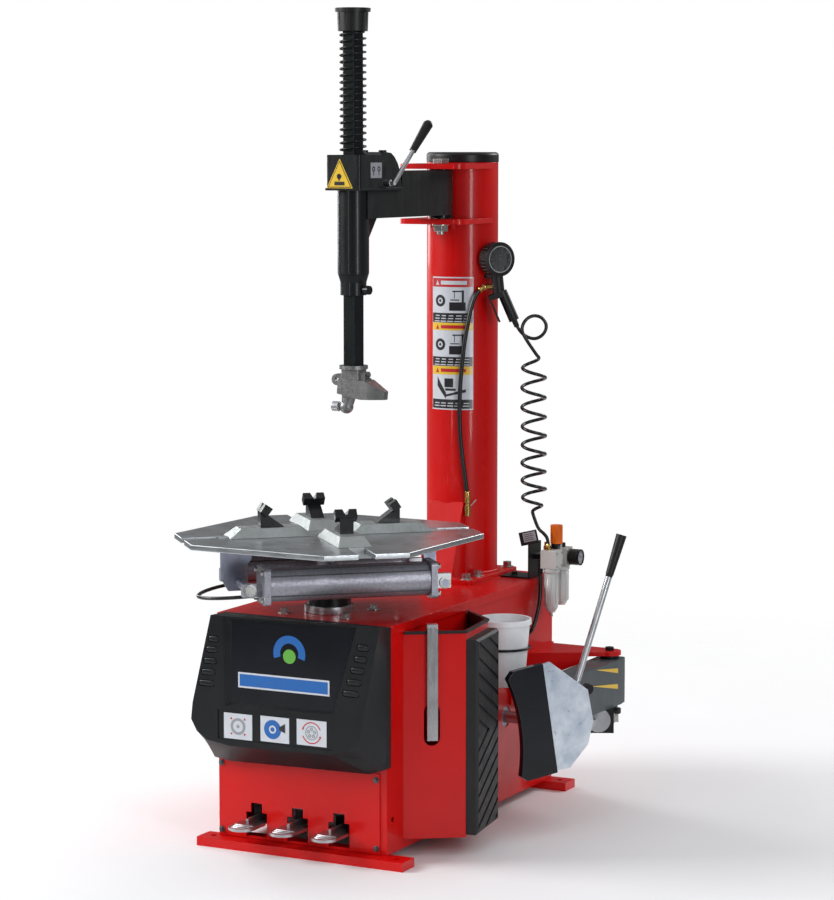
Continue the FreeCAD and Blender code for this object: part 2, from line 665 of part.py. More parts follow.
def mount_head():
    """Duck-bill mounting head: collar and clamp block on the shaft, curved toe, and roller foot."""
    def at(x, y, z):
        return V(TOOL.x + x, TOOL.y + y, z)
    collar = upright(32, TOOL, HEX_LOW - 8, HEX_LOW)
    block = rounded(box(TOOL.x - 22, TOOL.y - 20, 1000, TOOL.x + 22, TOOL.y + 22, HEX_LOW - 7), 4, is_upright)
    ear = join([box(TOOL.x - 40, TOOL.y - 6, 1004, TOOL.x - 20, TOOL.y + 6, 1030),
                rod(13, at(-40, -6, 1017), at(-40, 6, 1017))]).cut(rod(5, at(-40, -10, 1017), at(-40, 10, 1017)))
    toe = prism([at(-30, -26, 976), at(10, -30, 976), at(52, -24, 976), at(80, -8, 976), at(82, 6, 976),
                 at(40, 20, 976), at(-30, 22, 976)], V(4, 0, 44))
    toe = toe.common(front([(TOOL.x - 40, 990), (TOOL.x + 30, 976), (TOOL.x + 95, 972), (TOOL.x + 95, 988),
                            (TOOL.x + 40, 1018), (TOOL.x - 40, 1022)], TOOL.y - 60, TOOL.y + 60))
    neck = Part.makeCone(13, 19, 42, at(-14, -4, 960), V(6, 4, 42))
    ball = Part.makeSphere(15.5, at(-16, -4, 957))
    pin = rod(6, at(-16, -4, 957), at(-52, -4, 957))
    screws = join([box(TOOL.x + 22, TOOL.y - 14, 1012, TOOL.x + 36, TOOL.y + 10, 1036),
                   rod(5, at(34, -2, 1018), at(44, -2, 1018)), rod(5, at(34, -2, 1030), at(42, -2, 1030))])
    return join([collar, block, ear, toe, neck, ball, pin, screws])


def head_roller():
    centre = V(TOOL.x, TOOL.y - 4, 957)
    outer = rod(11, centre + X * -50, centre + X * -34)
    outer = outer.fuse(rod(8.5, centre + X * -34.1, centre + X * -33)).removeSplitter()
    return outer.cut(rod(6 + RUN_FIT, centre + X * -60, centre + X * -20))


# ---------------------------------------------------------------- tool box, pad, lever and bucket
def crossing(first, second):
    """Where two plan lines meet, each given as a point and a direction."""
    ax, ay, ux, uy = first
    bx, by, vx, vy = second
    share = ((bx - ax) * vy - (by - ay) * vx) / (ux * vy - uy * vx)
    return ax + ux * share, ay + uy * share


def inset_plan(distance):
    """The tool box plan moved inward on its three free sides."""
    wall = (BOX_PLAN[0][0], 0.0, 0.0, 1.0)
    lines = [wall]
    for (ax, ay), (bx, by) in zip(BOX_PLAN, BOX_PLAN[1:]):
        length = math.hypot(bx - ax, by - ay)
        lines.append((ax - (by - ay) / length * distance, ay + (bx - ax) / length * distance, bx - ax, by - ay))
    lines.append(wall)
    return [crossing(a, b) for a, b in zip(lines, lines[1:])]


LEVER_SLOT_AT = 0.46


def box_face_point(fraction, out, z):
    """A point on the tool box's slanted front face."""
    (ax, ay), (bx, by) = BOX_PLAN[0], BOX_PLAN[1]
    length = math.hypot(bx - ax, by - ay)
    nx, ny = (by - ay) / length, -(bx - ax) / length
    return V(ax + (bx - ax) * fraction + nx * out, ay + (by - ay) * fraction + ny * out, z)


def tool_box():
    solid = flat(inset_plan(0), BOX_LOW, BOX_TOP).cut(flat(inset_plan(2), BOX_LOW + 2, BOX_TOP + 1))
    middle = box_face_point(LEVER_SLOT_AT, 0, 0)
    turn = math.degrees(math.atan2(BOX_PLAN[1][1] - BOX_PLAN[0][1], BOX_PLAN[1][0] - BOX_PLAN[0][0]))
    slot = join([box(-17, -20, 262, 17, 20, 320), rod(17, V(0, -20, 262), V(0, 20, 262)),
                 rod(17, V(0, -20, 320), V(0, 20, 320))])
    return solid.cut(moved(turned(slot, V(), turn), middle))


def tool_box_liner():
    """Black moulded rim, with a short skirt inside the box."""
    skirt = flat(inset_plan(2.3), BOX_TOP - 60, BOX_TOP + 6).cut(flat(inset_plan(5.3), 0, 600))
    rim = flat(inset_plan(-3), BOX_TOP, BOX_TOP + 6).cut(flat(inset_plan(5.3), 0, 600))
    return join([skirt, rim]).cut(box(150, -400, 0, 201.2, 100, 600))


PAD_THICK = 27.0


def bumper_pad():
    """Thick rubber pad on the box's outer face, with chevron ribs that point to the back."""
    (ax, ay), (bx, by) = BOX_PLAN[1], BOX_PLAN[2]
    y0, y1 = 2.0, math.hypot(bx - ax, by - ay) - 3.0
    pad = box(0, y0, BOX_LOW + 6, PAD_THICK, y1, BOX_TOP - 14)
    pad = pad.makeChamfer(5.0, [e for e in pad.Edges if e.BoundBox.XMin > PAD_THICK - 0.1])
    middle = (BOX_LOW + BOX_TOP) / 2
    for index in range(-9, 10):
        base = middle + index * 34
        points = [(y0 - 1, base - 75), (y1 + 1, base), (y1 + 1, base + 9), (y0 - 1, base - 66)]
        for flip in (1, -1):
            outline = [(y, middle + flip * (z - middle)) for y, z in points]
            groove = side(outline, PAD_THICK - 3, PAD_THICK + 1)
            half = box(0, y0 + 7, middle if flip < 0 else BOX_LOW + 14, PAD_THICK + 9, y1 - 7,
                       BOX_TOP - 22 if flip < 0 else middle)
            pad = pad.cut(groove.common(half))
    turn = math.degrees(math.atan2(by - ay, bx - ax)) - 90
    return moved(turned(pad, V(), turn), V(ax, ay, 0))


def tyre_lever():
    """Flat bar hooked over the box's rim, hanging in front of the slanted face."""
    def at(out, z):
        return box_face_point(LEVER_SLOT_AT, out, z)
    outline = [(5, 255), (12, 258), (12, 505), (7, 512), (-10, 512), (-14, 507), (-14, 474), (-9, 474),
               (-9, 505), (4, 505), (5, 500)]
    points = [at(out, z) for out, z in outline]
    (ax, ay), (bx, by) = BOX_PLAN[0], BOX_PLAN[1]
    across = V(bx - ax, by - ay, 0)
    across.normalize()
    return prism([p - across * 12 for p in points], across * 24)


def bucket_radius(z):
    return 48 + 12 * (z - BUCKET_RIM_Z + BUCKET_HEIGHT) / BUCKET_HEIGHT


def soap_bucket():
    low = BUCKET_RIM_Z - BUCKET_HEIGHT
    outside = cone(48, 60, BUCKET, low, BUCKET_RIM_Z)
    rim = upright(63, BUCKET, BUCKET_RIM_Z - 12, BUCKET_RIM_Z)
    inside = cone(46, 58, BUCKET, low + 3, BUCKET_RIM_Z + 0.01)
    return join([outside, rim]).cut(inside).cut(upright(58, BUCKET, BUCKET_RIM_Z, BUCKET_RIM_Z + 1))


def bucket_ring():
    """Wire ring on the side wall that the bucket's cone sits in."""
    z = 412.0
    ring_r = bucket_radius(z + 3) + 3.4
    ring = Part.makeTorus(ring_r, 3, V(BUCKET.x, BUCKET.y, z), Z)
    stubs = [rod(3, V(198, BUCKET.y + dy, z), V(BUCKET.x - math.sqrt(ring_r ** 2 - dy ** 2), BUCKET.y + dy, z))
             for dy in (-22, 22)]
    return join([ring] + stubs)


# ---------------------------------------------------------------- bead breaker
ARM_BOTTOM = 238.0
ARM_TOP = 344.0
BLADE_SEAM = 101.0
BLADE_HALF = 126.0
BLADE_HOLLOW = 26.0
PIVOT_WIDTH = 120.0
PIVOT_BEHIND = 46.0
SHOVEL_OUTLINE = ((18, 20 - BLADE_HALF), (18, BLADE_HALF - 20), (32, BLADE_HALF - 7), (BLADE_SEAM + 20, BLADE_HALF - 2),
                  (206, 39), (209, -34), (188, -84), (BLADE_SEAM + 34, 2 - BLADE_HALF), (32, 7 - BLADE_HALF))


def blade_frame():
    """Directions of the blade: level along it, along its tilted width and height, and out of its face."""
    heading = math.radians(90 - BLADE_HEADING)
    level = V(math.cos(heading), math.sin(heading), 0)
    outward = V(level.y, -level.x, 0)
    tilt = math.radians(BLADE_TILT)
    up = Z * math.cos(tilt) - level * math.sin(tilt)
    along = level * math.cos(tilt) + Z * math.sin(tilt)
    return level, along, up, outward


def blade_point(width, height, out):
    """A point from its width (0 at the horns of the working edge), height and offset from the plate."""
    level, along, up, outward = blade_frame()
    return BLADE_EDGE + along * (width - BLADE_HOLLOW) + up * height + outward * out


def blade_slab(points, out0, out1, hollow):
    """A slab over an outline whose first edge is the hollow working edge."""
    corners = [blade_point(w, h, out0) for w, h in points]
    edges = [Part.Arc(corners[0], blade_point(hollow, 0, out0), corners[1]).toShape()]
    edges += [Part.LineSegment(a, b).toShape() for a, b in zip(corners[1:], corners[2:] + corners[:1])]
    return Part.Face(Part.Wire(edges)).extrude(blade_frame()[3] * (out1 - out0))


ARM_END = V(blade_point(PIVOT_WIDTH, 0, -PIVOT_BEHIND).x, blade_point(PIVOT_WIDTH, 0, -PIVOT_BEHIND).y, 0)
BREAKER_REACH = (ARM_END - HINGE).Length
YOKE_PIN = V(HINGE.x - 4, BREAKER_ROD.y, 0)
STOP_TURN = 25.0


def breaker_bracket():
    """Tapered hinge bracket on the side wall, with a slanting web below and the hinge spindle in its tip."""
    wall = CABINET_RIGHT - SHEET
    plan = [(wall, 200), (wall, 372), (HINGE.x, HINGE.y + 27), (HINGE.x, HINGE.y - 27)]
    plate = join([flat(plan, 352, 362), upright(27, HINGE, 352, 362)])
    edge = V(HINGE.x - wall, HINGE.y - 27 - 200, 0)
    web = prism([V(wall, 200, 353), V(wall, 200, 262), V(wall, 200, 290) + edge * 0.2,
                 V(wall, 200, 334) + edge * 0.72, V(wall, 200, 353) + edge * 0.8], V(0, 8, 0))
    backing = box(wall, 200, 240, wall + 6, 436, 353)
    lower = join([flat([(wall, 290), (wall, 436), (HINGE.x, HINGE.y + 28), (HINGE.x, HINGE.y - 28)], 214, 224),
                  upright(28, HINGE, 214, 224)])
    spindle = join([upright(HINGE_R, HINGE, 205, 362), hexagon(19, HINGE, 362, 370), hexagon(30, HINGE, 202, 214),
                    upright(22, HINGE, ARM_TOP + GAP, 352), upright(20, HINGE, 224, ARM_BOTTOM - GAP)])
    return join([plate, web, backing, lower, spindle])


def breaker_point(reach, across, height):
    """A point on the breaker arm: distance from the hinge, offset outward, and height."""
    along = ARM_END - HINGE
    along.normalize()
    return HINGE + along * reach + V(-along.y, along.x, 0) * across + Z * height


def breaker_arm():
    """Box arm with a heel at the hinge, a yoke pin below, and a block that clamps a round stop bar."""
    corners = [breaker_point(r, a, 0) for r, a in ((0, -33), (BREAKER_REACH, -24), (BREAKER_REACH, 24), (0, 33))]
    beam = flat([(p.x, p.y) for p in corners], ARM_BOTTOM, ARM_TOP)
    heel = rounded(box(HINGE.x - 33, HINGE.y - 30, ARM_BOTTOM, HINGE.x + 30, HINGE.y + 30, ARM_TOP), 10, is_upright)
    nose = upright(24, ARM_END, ARM_BOTTOM, ARM_TOP)
    block = join([box(HINGE.x - 58, HINGE.y - 76, 181, HINGE.x + 9, HINGE.y - 46, ARM_BOTTOM + 4),
                  rod(28, V(HINGE.x - 27, HINGE.y - 87, 213), V(HINGE.x - 27, HINGE.y - 46, 213)),
                  bolt(17, 9, 12, V(HINGE.x + 9, HINGE.y - 62, 214), X)])
    block = turned(block, HINGE, STOP_TURN)
    solid = join([beam, heel, nose, upright(8, YOKE_PIN, 200, ARM_BOTTOM), block])
    solid = solid.cut(upright(HINGE_R + RUN_FIT, HINGE, 150, 400))
    return solid.cut(upright(10 + RUN_FIT, ARM_END, 200, 400))


def breaker_blade():
    """Steel shovel plate with its fork and pin at the arm's end, and the bright handle with its grip."""
    level, along, up, outward = blade_frame()
    plate = blade_slab(SHOVEL_OUTLINE, -4, 4, BLADE_HOLLOW + 8)
    pieces = [plate, upright(10, ARM_END, 216, 366)]
    for low in (ARM_BOTTOM - GAP - 12, ARM_TOP + GAP):
        pieces.append(upright(24, ARM_END, low, low + 12))
        ear = [ARM_END + level * a + outward * b for a, b in ((-8, 0), (24, 0), (24, PIVOT_BEHIND - 3), (-8, PIVOT_BEHIND - 3))]
        pieces.append(flat([(p.x, p.y) for p in ear], low, low + 12))
    foot = blade_point(178, 34, -15)
    lean = level * 0.33 + Z * 0.944
    pieces += [rod(6.5, foot, foot + lean * 290), Part.makeCone(9, 12, 92, foot + lean * 278, lean),
               rod(11, foot - outward * 2, foot + outward * 12)]
    return join(pieces)


def blade_cover():
    """Moulded cover over the shovel's working half, slotted for the plate."""
    outline = [(9, 14 - BLADE_HALF), (9, BLADE_HALF - 14), (24, BLADE_HALF), (BLADE_SEAM, BLADE_HALF),
               (BLADE_SEAM, -BLADE_HALF), (24, -BLADE_HALF)]
    shell = blade_slab(outline, -8, 9, BLADE_HOLLOW)
    return shell.cut(blade_slab(SHOVEL_OUTLINE, -4, 4, BLADE_HOLLOW + 8))


CYLINDER_LEFT = -72.0
CYLINDER_R = 93.0


def breaker_cylinder():
    """Large air cylinder bolted inside the side wall; its rod comes out through the wall."""
    def at(x):
        return V(x, BREAKER_ROD.y, BREAKER_ROD.z)
    wall = CABINET_RIGHT - 2 * SHEET
    barrel = rod(CYLINDER_R, at(CYLINDER_LEFT), at(wall)).cut(rod(CYLINDER_R - 5, at(CYLINDER_LEFT + 12), at(wall - 14)))
    return barrel.cut(rod(14 + RUN_FIT, at(wall - 20), at(wall + 10)))


def breaker_rod():
    """Piston, rod and slotted yoke that pulls the arm towards the pad."""
    def at(x):
        return V(x, BREAKER_ROD.y, BREAKER_ROD.z)
    piston = rod(CYLINDER_R - 5 - RUN_FIT, at(CYLINDER_LEFT + 32), at(CYLINDER_LEFT + 56))
    stem = rod(14, at(CYLINDER_LEFT + 40), at(YOKE_PIN.x - 30))
    plate = box(YOKE_PIN.x - 40, BREAKER_ROD.y - 28, BREAKER_ROD.z - 8, YOKE_PIN.x + 24, BREAKER_ROD.y + 43,
                BREAKER_ROD.z + 8)
    slot = box(YOKE_PIN.x - 11, BREAKER_ROD.y - 14, 150, YOKE_PIN.x + 11, BREAKER_ROD.y + 35, 300)
    return join([piston, stem, plate]).cut(slot)


# ---------------------------------------------------------------- air unit
UNIT_X = 238.0
FILTER_Y = 346.0
OILER_Y = 404.0


def air_unit():
    """Filter-regulator and oiler blocks with a gauge, carried by an angle bracket on the top plate."""
    foot = box(112, 330, CABINET_TOP, 188, 396, CABINET_TOP + 4)
    leg = box(184, 330, CABINET_TOP, 188, 396, 602)
    tie = box(184, 356, 562, 222, 394, 574)
    blocks = [box(UNIT_X - 20, y - 19, 545, UNIT_X + 20, y + 19, 588) for y in (FILTER_Y, OILER_Y)]
    link = rod(12, V(UNIT_X, FILTER_Y, 566), V(UNIT_X, OILER_Y, 566))
    collar = upright(13, V(UNIT_X, FILTER_Y + 28, 0), 560, 600)
    dome = upright(9, V(UNIT_X, OILER_Y, 0), 588, 598)
    gauge = rod(19, V(UNIT_X + 24, OILER_Y, 566), V(UNIT_X + 48, OILER_Y, 566))
    stalk = rod(6, V(UNIT_X + 18, OILER_Y, 566), V(UNIT_X + 26, OILER_Y, 566))
    inlet = upright(7, V(232, 340, 0), 588, 598)
    outlet = join([rod(6, V(210, 344, 556), V(220, 344, 556)), upright(6.5, V(210, 344, 0), 546, 564)])
    tag = turned(box(168, 326, 600, 214, 330, 632), V(190, 328, 600), -14, Y)
    rear = rod(8, V(UNIT_X, OILER_Y + 18, 566), V(UNIT_X, OILER_Y + 36, 566)).cut(
        rod(5, V(UNIT_X, OILER_Y + 20, 566), V(UNIT_X, OILER_Y + 40, 566)))
    head = bolt(13, 7, 10, V(140, 350, CABINET_TOP + 4))
    return join([foot, leg, tie] + blocks + [link, collar, dome, gauge, stalk, inlet, outlet, tag, rear, head])


def air_bowls():
    """Clear bowls below the two blocks, with the filter's drain."""
    bowls = []
    for y, low in ((FILTER_Y, 440), (OILER_Y, 450)):
        centre = V(UNIT_X, y, 0)
        shell = join([upright(16, centre, low + 12, 545), cone(9, 16, centre, low, low + 12)])
        bowls.append(shell.cut(upright(13.5, centre, low + 14, 544)))
    drain = upright(4, V(UNIT_X, FILTER_Y, 0), 430, 440)
    return group([join([bowls[0], drain]), bowls[1]])


def regulator_knob():
    centre = V(UNIT_X, FILTER_Y + 28, 0)
    knob = upright(14.5, centre, 600.5, 644)
    for index in range(12):
        angle = math.radians(30 * index)
        knob = knob.cut(upright(1.4, centre + V(math.cos(angle), math.sin(angle), 0) * 15, 606, 640))
    return knob


# ---------------------------------------------------------------- tyre inflator and hoses
GUN_RIGHT = V(0.88, 0.475, 0)
GUN_FACE = V(0.475, -0.88, 0)
GAUGE = V(113, 303, 1271)
GAUGE_AXIS = V(0.85, -0.527, 0)
GRIP_TOP = V(124, 308, 1196)
GRIP_FOOT = V(150, 322, 1128)
TRIGGER_PIN = V(118, 304, 1188)


def inflator():
    """Pistol-shaped inflator with a booted gauge, hung on a hook welded to the column."""
    boot = rod(38, GAUGE - GAUGE_AXIS * 16, GAUGE + GAUGE_AXIS * 16)
    boot = boot.cut(rod(31, GAUGE + GAUGE_AXIS * 12, GAUGE + GAUGE_AXIS * 17))
    body = rod(14, V(113, 303, 1240), V(119, 305, 1182))
    grip = rod(12, GRIP_TOP, GRIP_FOOT)
    swivel = column_point(-31, WHIP_OUT, 1206)
    inlet = join([rod(6, swivel, V(113, 303, 1206)), Part.makeSphere(7.5, swivel)])
    hook = prism([V(60, 310, 1226), V(90, 300, 1226), V(113, 292, 1226), V(122, 306, 1226), V(100, 324, 1226),
                  V(60, 345, 1226)], Z * 8)
    hook = hook.cut(upright(COLUMN_R, COLUMN, 1200, 1300))
    solid = join([boot, body, grip, inlet, hook])
    return solid.cut(rod(3 + RUN_FIT, TRIGGER_PIN + GUN_FACE * 24, TRIGGER_PIN - GUN_FACE * 24))


def gun_prism(outline, side0, side1):
    """A prism across the inflator over (forward, height) points measured from the trigger pin."""
    start = [TRIGGER_PIN + GUN_RIGHT * s + GUN_FACE * side0 + Z * z for s, z in outline]
    return prism(start, GUN_FACE * (side1 - side0))


def inflator_trigger():
    """Squeeze lever in front of the grip: a blade on two cheeks that turn on the pin through the body."""
    blade = gun_prism([(-25, -4), (-21, -4), (4, -62), (0, -64)], -20, 20)
    cheeks = [gun_prism([(-6, 6), (6, 6), (6, -6), (-18, -12), (-25, -4)], side, side + 3) for side in (-20, 17)]
    pin = rod(3, TRIGGER_PIN - GUN_FACE * 20, TRIGGER_PIN + GUN_FACE * 20)
    return join([blade, pin] + cheeks)


WHIP_R = 5.0
WHIP_OUT = 96.0
WHIP_ROUTE = ((-35.4, 1202.2), (-42.5, 1195.5), (-50.0, 1168), (-56.5, 1120), (-62.0, 1062), (-66.0, 995),
              (-68.0, 920), (-66.0, 845), (-61.0, 775), (-56.0, 714.8))
CHUCK_FOOT = 668.0


def column_point(degrees, out, z):
    """A point round the column, by its angle from +X, its distance from the axis, and height."""
    angle = math.radians(degrees)
    return V(COLUMN.x + out * math.cos(angle), COLUMN.y + out * math.sin(angle), z)


def whip_hose():
    return hose("whip_hose", [tuple(column_point(a, WHIP_OUT, z)) for a, z in WHIP_ROUTE], WHIP_R)


def whip_chuck():
    """Brass tyre chuck with a spring clip, on the whip hose's free end."""
    top = column_point(WHIP_ROUTE[-1][0], WHIP_OUT, 714)
    body = join([upright(6.5, top, 700, 714), upright(5, top, 690, 700), upright(7.5, top, CHUCK_FOOT, 692)])
    clip = join([rod(1.5, top + V(0, 0, 0) + Z * (684 - top.z), V(top.x, top.y, 684) + GUN_RIGHT * 20 + Z * 22)])
    return join([body, clip])


CURLY_R = 4.0
COIL_R = 33.0
COIL_ROUTE = ((189, 350, 1052), (186, 351, 960), (190, 349, 860), (187, 351, 760), (192, 350, 668))
LEAD_TOP = ((150.1, 322.1, 1127.6), (158, 327, 1107), (173, 334, 1090), (194, 343, 1083), (212, 352, 1094),
            (219, 357, 1116), (207, 352, 1136), (187, 342, 1140), (172, 330, 1127), (168, 322, 1106),
            (177, 326, 1086), (185, 340, 1076), (189.3, 349.5, 1065), (189, 350, 1052.4))
LEAD_BOTTOM = ((192, 350, 667.6), (192.4, 350, 654), (203, 346.5, 635), (219, 343, 627), (231.5, 340.5, 614),
               (232, 340, 598.3))
SUPPLY_ROUTE = ((210, 344, 545.6), (211, 343, 520), (213, 339, 492), (214, 332, 464), (213, 322, 438),
                (211, 311, 414), (205, 303, 396), (190, 300, 386))
SUPPLY_R = 4.5


def curly_hose():
    return hose("curly_hose", COIL_ROUTE, COIL_R)


def hose_leads():
    """Straight ends of the curly hose: up to the inflator's grip, and down to the filter."""
    return group([hose("lead_top", LEAD_TOP, CURLY_R), hose("lead_bottom", LEAD_BOTTOM, CURLY_R)])


def supply_hose():
    return hose("supply_hose", SUPPLY_ROUTE, SUPPLY_R)


NODES = {}


def build():
    """Makes every sub-part and writes it to its own file."""
    NODES.update({
        "floor_feet": floor_feet(), "cabinet_body": cabinet_body(), "top_plate": top_plate(),
        "front_cover": front_cover(), "pedal_panel": pedal_panel(), "fixing_bolts": fixing_bolts(),
        "pedal_frame": pedal_frame(), "gearbox_housing": gearbox_housing(), "shaft_flange": shaft_flange(),
        "table_shaft": table_shaft(), "worm_shaft": worm_shaft(), "motor": motor(),
        "motor_pulley": motor_pulley(), "drive_belt": drive_belt(), "turntable_plate": turntable_plate(),
        "clamp_barrels": clamp_barrels(), "clamp_rods": clamp_rods(), "clamp_hoses": clamp_hoses(),
        "column": column(), "column_base": column_base(), "column_cap": column_cap(),
        "hinge_plates": hinge_plates(), "hinge_pin": hinge_pin(), "swing_arm": swing_arm(),
        "lock_housing": lock_housing(), "lock_lever": lock_lever(), "hex_shaft": hex_shaft(),
        "return_spring": return_spring(), "shaft_cap": shaft_cap(), "mount_head": mount_head(),
        "head_roller": head_roller(), "tool_box": tool_box(), "tool_box_liner": tool_box_liner(),
        "bumper_pad": bumper_pad(), "tyre_lever": tyre_lever(), "soap_bucket": soap_bucket(),
        "bucket_ring": bucket_ring(), "breaker_bracket": breaker_bracket(), "breaker_arm": breaker_arm(),
        "breaker_blade": breaker_blade(), "blade_cover": blade_cover(), "breaker_cylinder": breaker_cylinder(),
        "breaker_rod": breaker_rod(), "air_unit": air_unit(), "air_bowls": air_bowls(),
        "regulator_knob": regulator_knob(), "inflator": inflator(), "inflator_trigger": inflator_trigger(),
        "whip_hose": whip_hose(), "whip_chuck": whip_chuck(), "curly_hose": curly_hose(),
        "hose_leads": hose_leads(), "supply_hose": supply_hose(),
    })
    for number, x in enumerate(PEDAL_X, 1):
        NODES["pedal_%d" % number] = pedal(x)
    for index, name in enumerate(("right", "back", "left", "front")):
        NODES["clamp_slide_" + name] = clamp_slide(index)
    os.makedirs("parts", exist_ok=True)
    for name, shape in NODES.items():
        shape.exportStep("parts/%s.step" % name)
        print(name, len(shape.Solids), shape.isValid(), "%.0f cm3" % (shape.Volume / 1000))


build()
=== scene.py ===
"""Looks of the tire changer: finishes, hoses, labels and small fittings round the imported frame.

Metres, in the frame's own axes: +X is the operator's right, +Y the back, +Z up.
"""
import math

import bmesh
import bpy
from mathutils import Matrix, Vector


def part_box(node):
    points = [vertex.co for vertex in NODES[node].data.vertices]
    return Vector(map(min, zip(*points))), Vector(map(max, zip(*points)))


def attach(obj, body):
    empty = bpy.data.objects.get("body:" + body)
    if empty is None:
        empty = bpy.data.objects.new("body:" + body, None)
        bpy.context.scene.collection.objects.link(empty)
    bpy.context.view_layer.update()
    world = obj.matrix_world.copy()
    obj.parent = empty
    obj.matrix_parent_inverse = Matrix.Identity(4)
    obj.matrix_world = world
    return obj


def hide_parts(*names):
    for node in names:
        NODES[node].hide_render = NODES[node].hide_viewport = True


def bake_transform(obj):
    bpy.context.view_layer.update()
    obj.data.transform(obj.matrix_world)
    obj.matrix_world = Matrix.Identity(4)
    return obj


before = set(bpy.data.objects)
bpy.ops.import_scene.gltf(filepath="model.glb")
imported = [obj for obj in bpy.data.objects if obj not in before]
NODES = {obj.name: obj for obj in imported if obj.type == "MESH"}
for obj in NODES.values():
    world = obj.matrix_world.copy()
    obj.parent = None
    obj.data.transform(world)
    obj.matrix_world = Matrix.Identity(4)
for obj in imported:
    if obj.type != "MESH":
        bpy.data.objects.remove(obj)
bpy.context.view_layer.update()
X, Y, Z = Vector((1, 0, 0)), Vector((0, 1, 0)), Vector((0, 0, 1))


def at(x, y, z):
    return Vector((x, y, z))


def middle(node):
    low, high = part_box(node)
    return (low + high) / 2


# ---------------- places, read from the frame where it holds them
COLUMN = middle("column")
COLUMN_R = (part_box("column")[1].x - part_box("column")[0].x) / 2
TABLE = middle("turntable_plate")
TABLE_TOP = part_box("turntable_plate")[1].z
COVER_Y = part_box("front_cover")[0].y
STRIP_DEPTH, LOUVRE_DEPTH, FIELD_DEPTH = 0.002, 0.005, 0.008
CABINET_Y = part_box("cabinet_body")[0].y
TOOL = middle("hex_shaft")
TOOL_FOOT = at(TOOL.x, TOOL.y, 0)
# the clamp cylinders under the table: their direction, distance from its centre, radius and height
DRIVEN_ANGLE = math.radians(43)
CLAMP_CYL_OFFSET = 0.115
CLAMP_CYL_R = 0.037
CLAMP_CYL_Z = 0.6
PEDAL_TREAD = 0.063
SPRING_TURNS = 18
SPRING_R = 0.028
SPRING_WIRE_R = 0.0022
# each louvre of the cover: x, z and half its straight length
LOUVRES = ((0.176, 0.481, 0.008), (0.17, 0.456, 0.009), (0.162, 0.431, 0.01), (0.154, 0.405, 0.011),
           (0.146, 0.38, 0.013), (-0.193, 0.471, 0.007), (-0.198, 0.447, 0.008), (-0.202, 0.422, 0.01),
           (-0.207, 0.397, 0.011), (-0.212, 0.372, 0.013))


def column_point(degrees, out, z):
    a = math.radians(degrees)
    return at(COLUMN.x + out * math.cos(a), COLUMN.y + out * math.sin(a), z)


def table_point(reach, across, height):
    along = at(math.cos(DRIVEN_ANGLE), math.sin(DRIVEN_ANGLE), 0)
    return at(TABLE.x, TABLE.y, height) + along * reach + at(along.y, -along.x, 0) * across


# ---------------- finishes
class Finish:
    """A node material, with the few blocks that the finishes share. Lengths are in metres."""

    def __init__(self, name, colour, roughness, metallic=0.0):
        self.material = bpy.data.materials.new(name)
        self.material.use_nodes = True
        self.tree = self.material.node_tree
        self.shader = self.tree.nodes["Principled BSDF"]
        self.put(("Base Color", (*colour, 1)), ("Roughness", roughness), ("Metallic", metallic))
        self.place = self.tree.nodes.new("ShaderNodeTexCoord").outputs["Object"]

    def put(self, *pairs):
        for socket, value in pairs:
            self.shader.inputs[socket].default_value = value

    def link(self, output, socket):
        self.tree.links.new(output, self.shader.inputs[socket])

    def node(self, kind, inputs):
        """A new node whose inputs are set, each to a value or to another node's output."""
        made = self.tree.nodes.new("ShaderNode" + kind)
        for socket, value in inputs.items():
            if isinstance(value, bpy.types.NodeSocket):
                self.tree.links.new(value, made.inputs[socket])
            else:
                made.inputs[socket].default_value = value
        return made

    def noise(self, size, detail=4.0, rough=0.55, stretch=None):
        place = self.place
        if stretch:
            place = self.node("Mapping", {"Vector": place, "Scale": stretch}).outputs["Vector"]
        inputs = {"Vector": place, "Scale": 1 / size, "Detail": detail, "Roughness": rough}
        return self.node("TexNoise", inputs).outputs["Fac"]

    def cells(self, size):
        return self.node("TexVoronoi", {"Vector": self.place, "Scale": 1 / size}).outputs["Distance"]

    def remap(self, value, low, high, out_low=0.0, out_high=1.0):
        inputs = {"Value": value, "From Min": low, "From Max": high, "To Min": out_low, "To Max": out_high}
        return self.node("MapRange", inputs).outputs["Result"]

    def between(self, factor, first, second):
        """A colour between two, each a tuple or another output."""
        node = self.tree.nodes.new("ShaderNodeMix")
        node.data_type = "RGBA"
        self.tree.links.new(factor, node.inputs["Factor"])
        for socket, colour in (("A", first), ("B", second)):
            target = [s for s in node.inputs if s.name == socket and s.type == "RGBA"][0]
            if isinstance(colour, tuple):
                target.default_value = (*colour, 1)
            else:
                self.tree.links.new(colour, target)
        return [s for s in node.outputs if s.type == "RGBA"][0]

    def bump(self, height, distance, strength=1.0, under=None):
        """A raised grain, on top of the one under it if there is one."""
        inputs = {"Height": height, "Distance": distance, "Strength": strength}
        if under:
            inputs["Normal"] = under
        normal = self.node("Bump", inputs).outputs["Normal"]
        self.link(normal, "Normal")
        return normal

    def drift(self, noise, low, high, first, second):
        """The colour goes from one to the other while the noise goes from low to high."""
        self.link(self.between(self.remap(noise, low, high), first, second), "Base Color")

    def vary(self, noise, low, high, first, second):
        """The roughness goes from one to the other while the noise goes from low to high."""
        self.link(self.remap(noise, low, high, first, second), "Roughness")


